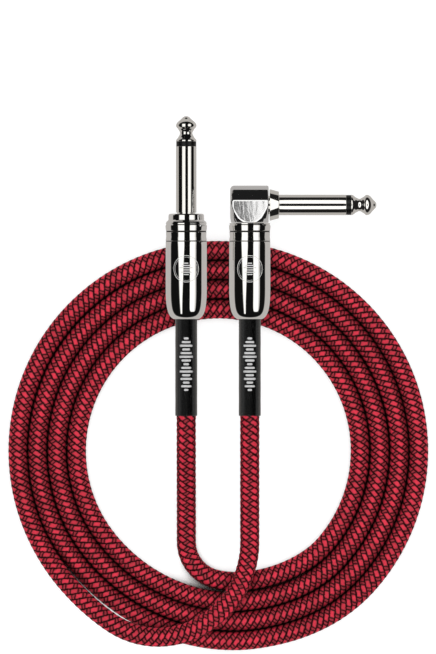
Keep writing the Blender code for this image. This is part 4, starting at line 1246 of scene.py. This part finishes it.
def make_head():
    n = 84
    g = np.tan(np.linspace(-math.pi / 4, math.pi / 4, n + 1))
    verts, faces, index = [], [], {}
    dirs = []
    for axis in range(3):
        for sgn in (-1, 1):
            ids = np.empty((n + 1, n + 1), int)
            for i in range(n + 1):
                for j in range(n + 1):
                    d = [0, 0, 0]
                    d[axis] = sgn
                    d[(axis + 1) % 3] = g[i]
                    d[(axis + 2) % 3] = g[j]
                    key = tuple(round(c, 6) for c in d)
                    if key not in index:
                        index[key] = len(dirs)
                        dirs.append(d)
                    ids[i, j] = index[key]
            for i in range(n):
                for j in range(n):
                    q = (ids[i, j], ids[i + 1, j], ids[i + 1, j + 1], ids[i, j + 1])
                    faces.append(q if sgn > 0 else q[::-1])
    D = np.array(dirs, float)
    D /= np.linalg.norm(D, axis=1)[:, None]
    C = np.array([0.0, 2.2, 0.0])
    lo, hi = np.zeros(len(D)), np.full(len(D), 14.0)
    for _ in range(34):
        mid = (lo + hi) / 2
        inside = head_field(C + D * mid[:, None]) < 0
        lo = np.where(inside, mid, lo)
        hi = np.where(inside, hi, mid)
    P = C + D * ((lo + hi) / 2)[:, None]
    origin = np.array([ANGLE_X, SHOULDER_Y, PLUG_Z])
    ob = mesh_object("angle_head_casting", W(P + origin), faces, smooth=False)
    bm = bmesh.new()
    bm.from_mesh(ob.data)
    bmesh.ops.recalc_face_normals(bm, faces=bm.faces)
    bm.to_mesh(ob.data)
    bm.free()
    # the well for the contact link and the bore for the shaft's spigot
    o = (ANGLE_X, SHOULDER_Y, PLUG_Z)
    so = (ANGLE_X, SHOULDER_Y + HEAD_AXIS, PLUG_Z)
    well = lathe("cut_well", [(5.6, 0.0), (5.6, 3.6), (-6.0, 3.6), (-6.0, 0.0)], o, AX_Y, 64, closed=False)
    bore = lathe("cut_bore", [(9.0, 0.0), (9.0, 3.1), (0.0, 3.1), (0.0, 0.0)], so, AX_X, 64, closed=False)
    for cutter in (well, bore):
        mod = ob.modifiers.new("cut", "BOOLEAN")
        mod.operation = "DIFFERENCE"
        mod.solver = "EXACT"
        mod.object = cutter
    bpy.context.view_layer.update()
    graph = bpy.context.evaluated_depsgraph_get()
    me = bpy.data.meshes.new_from_object(ob.evaluated_get(graph), depsgraph=graph)
    ob.modifiers.clear()
    ob.data = me
    for cutter in (well, bore):
        bpy.data.objects.remove(cutter, do_unlink=True)
    me.shade_smooth()
    # exact normals on the outside, so that the plating reflects cleanly
    co = np.empty(len(me.vertices) * 3, np.float32)
    me.vertices.foreach_get("co", co)
    local = co.reshape(-1, 3) / MM - np.array([0.0, COIL_Y, 0.0]) - origin
    f0 = head_field(local)
    grad = np.stack([head_field(local + d) - head_field(local - d) for d in np.eye(3) * 0.002], -1)
    grad /= np.maximum(np.linalg.norm(grad, axis=1), 1e-9)[:, None]
    idx = np.empty(len(me.loops), np.int32)
    me.loops.foreach_get("vertex_index", idx)
    fn = np.empty(len(me.polygons) * 3, np.float32)
    me.polygons.foreach_get("normal", fn)
    total = np.empty(len(me.polygons), np.int32)
    me.polygons.foreach_get("loop_total", total)
    owner = np.repeat(np.arange(len(total)), total)
    fnl = fn.reshape(-1, 3)[owner]
    gl = grad[idx]
    ok = (np.abs(f0[idx]) < 0.02) & (np.sum(gl * fnl, 1) > 0.55)
    normals = np.where(ok[:, None], gl, fnl)
    me.normals_split_custom_set([tuple(map(float, v)) for v in normals])
    return put(ob, "angle_plug", M["head"], "bright_chrome", "angle_head")


# ------------------------------------------------------------------ build it
make_sleeve()
make_cores()
make_barrel("straight", STRAIGHT_X)
make_barrel("angle", ANGLE_X)
make_jack("straight", (STRAIGHT_X, SHOULDER_Y, PLUG_Z), AX_Y, -17.6, -14.3, False, M["nickel_y"])
make_jack("angle", (ANGLE_X + HUB_TO, SHOULDER_Y + HEAD_AXIS, PLUG_Z), AX_X, -HUB_TO + 0.6, -HUB_TO + 4.0, True, M["nickel_x"])
make_head()

KEPT = {
    "_core_insulator": "insulator", "_rear_insulator": "insulator", "_ground_lug": "brass", "_tip_lug": "brass",
    "_tip_link": "brass", "_solder": "solder",
}

def refine(node, key, slot):
    """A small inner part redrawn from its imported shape: welded, with its sharp edges eased.
    Solder is rounded off instead."""
    bm = bmesh.new()
    bm.from_mesh(frame["nodes"][node].data)
    bmesh.ops.remove_doubles(bm, verts=bm.verts, dist=2e-6)
    bmesh.ops.dissolve_degenerate(bm, dist=1e-7, edges=bm.edges)
    bmesh.ops.dissolve_limit(bm, angle_limit=math.radians(1.0), verts=bm.verts, edges=bm.edges)
    if key == "solder":
        bmesh.ops.triangulate(bm, faces=[f for f in bm.faces if len(f.verts) > 4])
    else:
        sharp = [e for e in bm.edges if len(e.link_faces) == 2 and e.calc_face_angle(0.0) > math.radians(32)]
        bmesh.ops.bevel(bm, geom=sharp, offset=0.00007, segments=2, profile=0.5, affect="EDGES", clamp_overlap=True)
        bmesh.ops.dissolve_degenerate(bm, dist=1e-7, edges=bm.edges)
    me = bpy.data.meshes.new(node + "_fine")
    bm.to_mesh(me)
    bm.free()
    ob = bpy.data.objects.new(node + "_fine", me)
    bpy.context.scene.collection.objects.link(ob)
    if key == "solder":
        mod = ob.modifiers.new("round", "SUBSURF")
        mod.levels = mod.render_levels = 2
    me.shade_smooth()
    me.set_sharp_from_angle(angle=math.radians(50 if key == "solder" else 38))
    return put(ob, frame["nodes"][node]["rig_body"], M[key], slot, node)


SLOT = {"insulator": "black_plastic", "brass": "brass", "solder": "solder"}
for name in sorted(frame["nodes"]):
    if frame["nodes"][name].hide_render:
        continue
    for end, key in KEPT.items():
        if name.endswith(end):
            refine(name, key, SLOT[key])

# ------------------------------------------------------------------ floor, light, camera
def stage():
    N = Nodes("studio_floor")
    lp = N.new("ShaderNodeLightPath")
    geo = N.new("ShaderNodeNewGeometry")
    sep = N.new("ShaderNodeSeparateXYZ")
    N.feed(sep.inputs[0], geo.outputs["Incoming"])
    steep = N.ramp(N.math("ABSOLUTE", sep.outputs[2]), 0.09, 0.14)
    grain = N.noise(N.object_mm(), 0.02, 3.0)
    diff = N.new("ShaderNodeBsdfDiffuse")
    ao = N.new("ShaderNodeAmbientOcclusion")
    ao.samples = 8
    ao.inputs["Distance"].default_value = 0.007
    # painted contact shadow: for the camera, the floor turns almost black-red where the cable stands close above it
    painted_contact_shadow = N.math("MULTIPLY", N.ramp(ao.outputs["AO"], 0.24, 0.46, 1.0, 0.0), lp.outputs["Is Camera Ray"])
    paper_tone = N.mix(grain, (0.90, 0.90, 0.90), (0.925, 0.925, 0.925))
    N.feed(diff.inputs["Color"], N.mix(painted_contact_shadow, paper_tone, (0.03, 0.012, 0.012)))
    em = N.new("ShaderNodeEmission")
    N.feed(em.inputs["Color"], N.mix(steep, (0.02, 0.02, 0.02), (0.52, 0.50, 0.48)))
    glow = N.new("ShaderNodeEmission")
    glow.inputs["Color"].default_value = (1.10, 1.10, 1.10, 1.0)
    open_floor = N.ramp(ao.outputs["AO"], 0.30, 0.62)
    paper = N.new("ShaderNodeMixShader")
    N.feed(paper.inputs[0], N.math("MULTIPLY", N.math("MULTIPLY", lp.outputs["Is Camera Ray"], 0.80), open_floor))
    N.t.links.new(diff.outputs[0], paper.inputs[1])
    N.t.links.new(glow.outputs[0], paper.inputs[2])
    mix = N.new("ShaderNodeMixShader")
    N.feed(mix.inputs[0], lp.outputs["Is Glossy Ray"])
    N.t.links.new(paper.outputs[0], mix.inputs[1])
    N.t.links.new(em.outputs[0], mix.inputs[2])
    out = N.new("ShaderNodeOutputMaterial")
    N.t.links.new(mix.outputs[0], out.inputs["Surface"])
    bm = bmesh.new()
    bmesh.ops.create_circle(bm, cap_ends=True, cap_tris=True, segments=64, radius=3.0)
    me = bpy.data.meshes.new("floor")
    bm.to_mesh(me)
    bm.free()
    me.materials.append(N.owner)
    ob = bpy.data.objects.new("floor", me)
    ob.location = (0.0, 0.0, -0.00018)
    bpy.context.scene.collection.objects.link(ob)


def polar(N, coords):
    """Reflection angle from straight up, and its x and y parts, in degrees."""
    sep = N.new("ShaderNodeSeparateXYZ")
    N.feed(sep.inputs[0], coords)
    x, y, z = sep.outputs
    beta = N.math("MULTIPLY", N.math("ARCCOSINE", z), 180 / math.pi)
    flat = N.math("MAXIMUM", N.math("SQRT", N.math("ADD", N.math("MULTIPLY", x, x), N.math("MULTIPLY", y, y))), 1e-5)
    cx, cy = N.math("DIVIDE", x, flat), N.math("DIVIDE", y, flat)
    return beta, cx, cy, N.math("MULTIPLY", beta, cx), N.math("MULTIPLY", beta, cy)


def window(N, value, lo, hi, soft):
    """1 between lo and hi, fading over soft at each side."""
    up = N.ramp(value, N.math("SUBTRACT", lo, soft), N.math("ADD", lo, soft)) if hasattr(lo, "is_output") else N.ramp(value, lo - soft, lo + soft)
    down = N.ramp(value, N.math("SUBTRACT", hi, soft), N.math("ADD", hi, soft), 1.0, 0.0) if hasattr(hi, "is_output") else N.ramp(value, hi - soft, hi + soft, 1.0, 0.0)
    return N.math("MULTIPLY", up, down)


def reflection_dome(name, radius, pattern, objects):
    """A dome that only the given shiny pieces see, as a card is placed for one product."""
    N = Nodes(name)
    tc = N.new("ShaderNodeTexCoord")
    unit = N.new("ShaderNodeVectorMath", operation="NORMALIZE")
    N.feed(unit.inputs[0], tc.outputs["Object"])
    em = N.new("ShaderNodeEmission")
    N.feed(em.inputs["Color"], pattern(N, unit.outputs[0]))
    tr = N.new("ShaderNodeBsdfTransparent")
    add = N.new("ShaderNodeAddShader")
    N.t.links.new(em.outputs[0], add.inputs[0])
    N.t.links.new(tr.outputs[0], add.inputs[1])
    out = N.new("ShaderNodeOutputMaterial")
    N.t.links.new(add.outputs[0], out.inputs["Surface"])
    N.owner.cycles.emission_sampling = "NONE"
    bm = bmesh.new()
    bmesh.ops.create_uvsphere(bm, u_segments=96, v_segments=48, radius=radius)
    bmesh.ops.delete(bm, geom=[v for v in bm.verts if v.co.z < -0.02 * radius], context="VERTS")
    me = bpy.data.meshes.new(name)
    bm.to_mesh(me)
    bm.free()
    me.materials.append(N.owner)
    ob = bpy.data.objects.new(name, me)
    bpy.context.scene.collection.objects.link(ob)
    ob.visible_camera = ob.visible_diffuse = ob.visible_shadow = False
    ob.visible_transmission = ob.visible_volume_scatter = False
    lit = bpy.data.collections.new(name + "_pieces")
    for piece in objects:
        lit.objects.link(piece)
    ob.light_linking.receiver_collection = lit
    return ob


def ring_pattern(N, coords):
    """A round softbox with the camera's dark opening in the middle."""
    beta, cx, cy, bx, by = polar(N, coords)
    ux, uy = N.math("SUBTRACT", bx, 3.0), N.math("SUBTRACT", by, 2.3)
    core = N.math("SQRT", N.math("ADD", N.math("MULTIPLY", ux, ux), N.math("MULTIPLY", uy, uy)))
    inner = N.ramp(core, 13.2, 15.8)
    edge = N.math("ADD", beta, N.math("MULTIPLY", N.math("MAXIMUM", cx, 0.0), 7.0))
    edge = N.math("SUBTRACT", edge, N.math("MULTIPLY", cy, 4.5))
    outer = N.ramp(edge, 50.0, 54.0, 1.0, 0.0)
    return N.mix(N.math("MULTIPLY", inner, outer), (0.012, 0.012, 0.012), (1.35, 1.34, 1.31))


def strip_pattern(N, coords):
    """Two long softboxes beside the camera, near enough that the left one tapers down the barrel."""
    beta, cx, cy, bx, by = polar(N, coords)
    lp = N.new("ShaderNodeLightPath")
    geo = N.new("ShaderNodeNewGeometry")
    back = N.new("ShaderNodeVectorMath", operation="MULTIPLY_ADD")
    N.feed(back.inputs[0], geo.outputs["Incoming"])
    length = N.new("ShaderNodeCombineXYZ")
    for k in range(3):
        N.feed(length.inputs[k], lp.outputs["Ray Length"])
    N.feed(back.inputs[1], length.outputs[0])
    N.feed(back.inputs[2], geo.outputs["Position"])
    start = N.new("ShaderNodeSeparateXYZ")
    N.feed(start.inputs[0], back.outputs[0])
    y_mm = N.math("SUBTRACT", N.math("MULTIPLY", start.outputs[1], 1000.0), COIL_Y)
    foot = N.ramp(y_mm, 41.5, 64.0, 1.0, 0.0, smooth=False)
    lo = N.mixf(foot, -45.0, -33.0)
    hi = N.mixf(foot, -10.5, -26.0)
    left = N.math("MULTIPLY", N.ramp(bx, N.math("SUBTRACT", lo, 4.0), N.math("ADD", lo, 3.0)),
                  N.ramp(bx, N.math("SUBTRACT", hi, 2.0), N.math("ADD", hi, 1.0), 1.0, 0.0))
    left = N.math("MULTIPLY", left, window(N, by, -51.0, 46.0, 2.0))
    rx = N.math("DIVIDE", N.math("SUBTRACT", bx, 39.0), 19.0)
    ry = N.math("DIVIDE", N.math("SUBTRACT", by, 4.0), 42.0)
    r4 = N.math("ADD", N.math("POWER", N.math("ABSOLUTE", rx), 4.0), N.math("POWER", N.math("ABSOLUTE", ry), 4.0))
    right = N.math("MULTIPLY", N.ramp(r4, 0.75, 1.10, 1.0, 0.0), N.ramp(bx, 44.0, 56.0, 1.0, 0.5))
    both = N.math("MAXIMUM", left, right)
    return N.mix(both, (0.003, 0.003, 0.003), (1.22, 1.21, 1.17))


def boot_pattern(N, coords):
    """A broad dim card on the left and a narrow one low on the right."""
    beta, cx, cy, bx, by = polar(N, coords)
    left = N.math("MULTIPLY", N.ramp(bx, -84.0, -40.0, 0.42, 0.085), N.ramp(bx, -5.0, 36.0, 1.0, 0.02))
    right = N.ramp(bx, 60.0, 84.0, 0.0, 0.50)
    both = N.math("ADD", left, right)
    tone = N.new("ShaderNodeCombineXYZ")
    for k in range(3):
        N.feed(tone.inputs[k], both)
    return tone.outputs[0]


def studio_world(strip_objects, ring_objects, boot_objects):
    """A white room for the eye, a soft dome for matt surfaces, a pale floor for shiny ones."""
    N = Nodes("studio", world=True)
    tc = N.new("ShaderNodeTexCoord")
    sep = N.new("ShaderNodeSeparateXYZ")
    N.feed(sep.inputs[0], tc.outputs["Generated"])
    z = sep.outputs[2]
    low = N.ramp(z, -0.12, -0.09, 1.0, 0.0)
    glossy = N.mix(low, (0.003, 0.003, 0.003), (0.52, 0.51, 0.49))
    dome = N.mix(N.ramp(z, 0.70, 0.93), (0.30, 0.30, 0.31), (3.05, 3.03, 2.98))
    lp = N.new("ShaderNodeLightPath")
    eye = (1.05, 1.05, 1.05)
    col = N.mix(lp.outputs["Is Glossy Ray"], dome, glossy)
    col = N.mix(lp.outputs["Is Camera Ray"], col, eye)
    bg = N.new("ShaderNodeBackground")
    N.feed(bg.inputs["Color"], col)
    out = N.new("ShaderNodeOutputWorld")
    N.t.links.new(bg.outputs[0], out.inputs["Surface"])
    bpy.context.scene.world = N.owner
    N.owner.cycles.sampling_method = "NONE"
    reflection_dome("strip_lights", 2.0, strip_pattern, strip_objects)
    reflection_dome("ring_light", 2.1, ring_pattern, ring_objects)
    reflection_dome("boot_light", 2.2, boot_pattern, boot_objects)


def camera():
    """Straight down on the cable, from far enough that it looks as flat as a product shot."""
    cam = bpy.data.cameras.new("camera")
    cam.sensor_fit = "VERTICAL"
    cam.sensor_height = 24.0
    dist = 2.5
    height = 204.4 * MM
    cam.lens = 24.0 * (dist - 0.006) / height
    cam.clip_start, cam.clip_end = 0.05, 20.0
    ob = bpy.data.objects.new("camera", cam)
    ob.location = (-0.1 * MM, (38.75 + COIL_Y) * MM, dist)
    bpy.context.scene.collection.objects.link(ob)
    bpy.context.scene.camera = ob


CABLE = [M["weave"], M["jacket"], M["shield"], M["insulation"], M["conductor"]]
for ob in bpy.context.scene.objects:
    if ob.type == "MESH" and ob.data.materials and ob.data.materials[0] in CABLE:
        ob.visible_glossy = False      # nothing of the cable shows in the plating
for ob in bpy.context.scene.objects:
    inside = ob.name.endswith(("_fine", "_liner_tube"))
    if inside or ob.name.endswith(("_shell_barrel_skin", "_collar_ring", "_shell_etching", "_boot_sleeve", "_boot_print")):
        ob.visible_glossy = False
PIECES = [ob for ob in bpy.context.scene.objects if ob.type == "MESH" and not ob.hide_render]
STRIPS = ("_shell_barrel_skin", "_shell_etching", "_collar_ring", "straight_shaft", "straight_tip_contact", "straight_insulating_ring")
stage()
BOOTS = ("_boot_sleeve",)
studio_world([o for o in PIECES if o.name.endswith(STRIPS)], [o for o in PIECES if not o.name.endswith(STRIPS + BOOTS)],
             [o for o in PIECES if o.name.endswith(BOOTS)])
camera()
bpy.context.scene.view_settings.view_transform = "Standard"
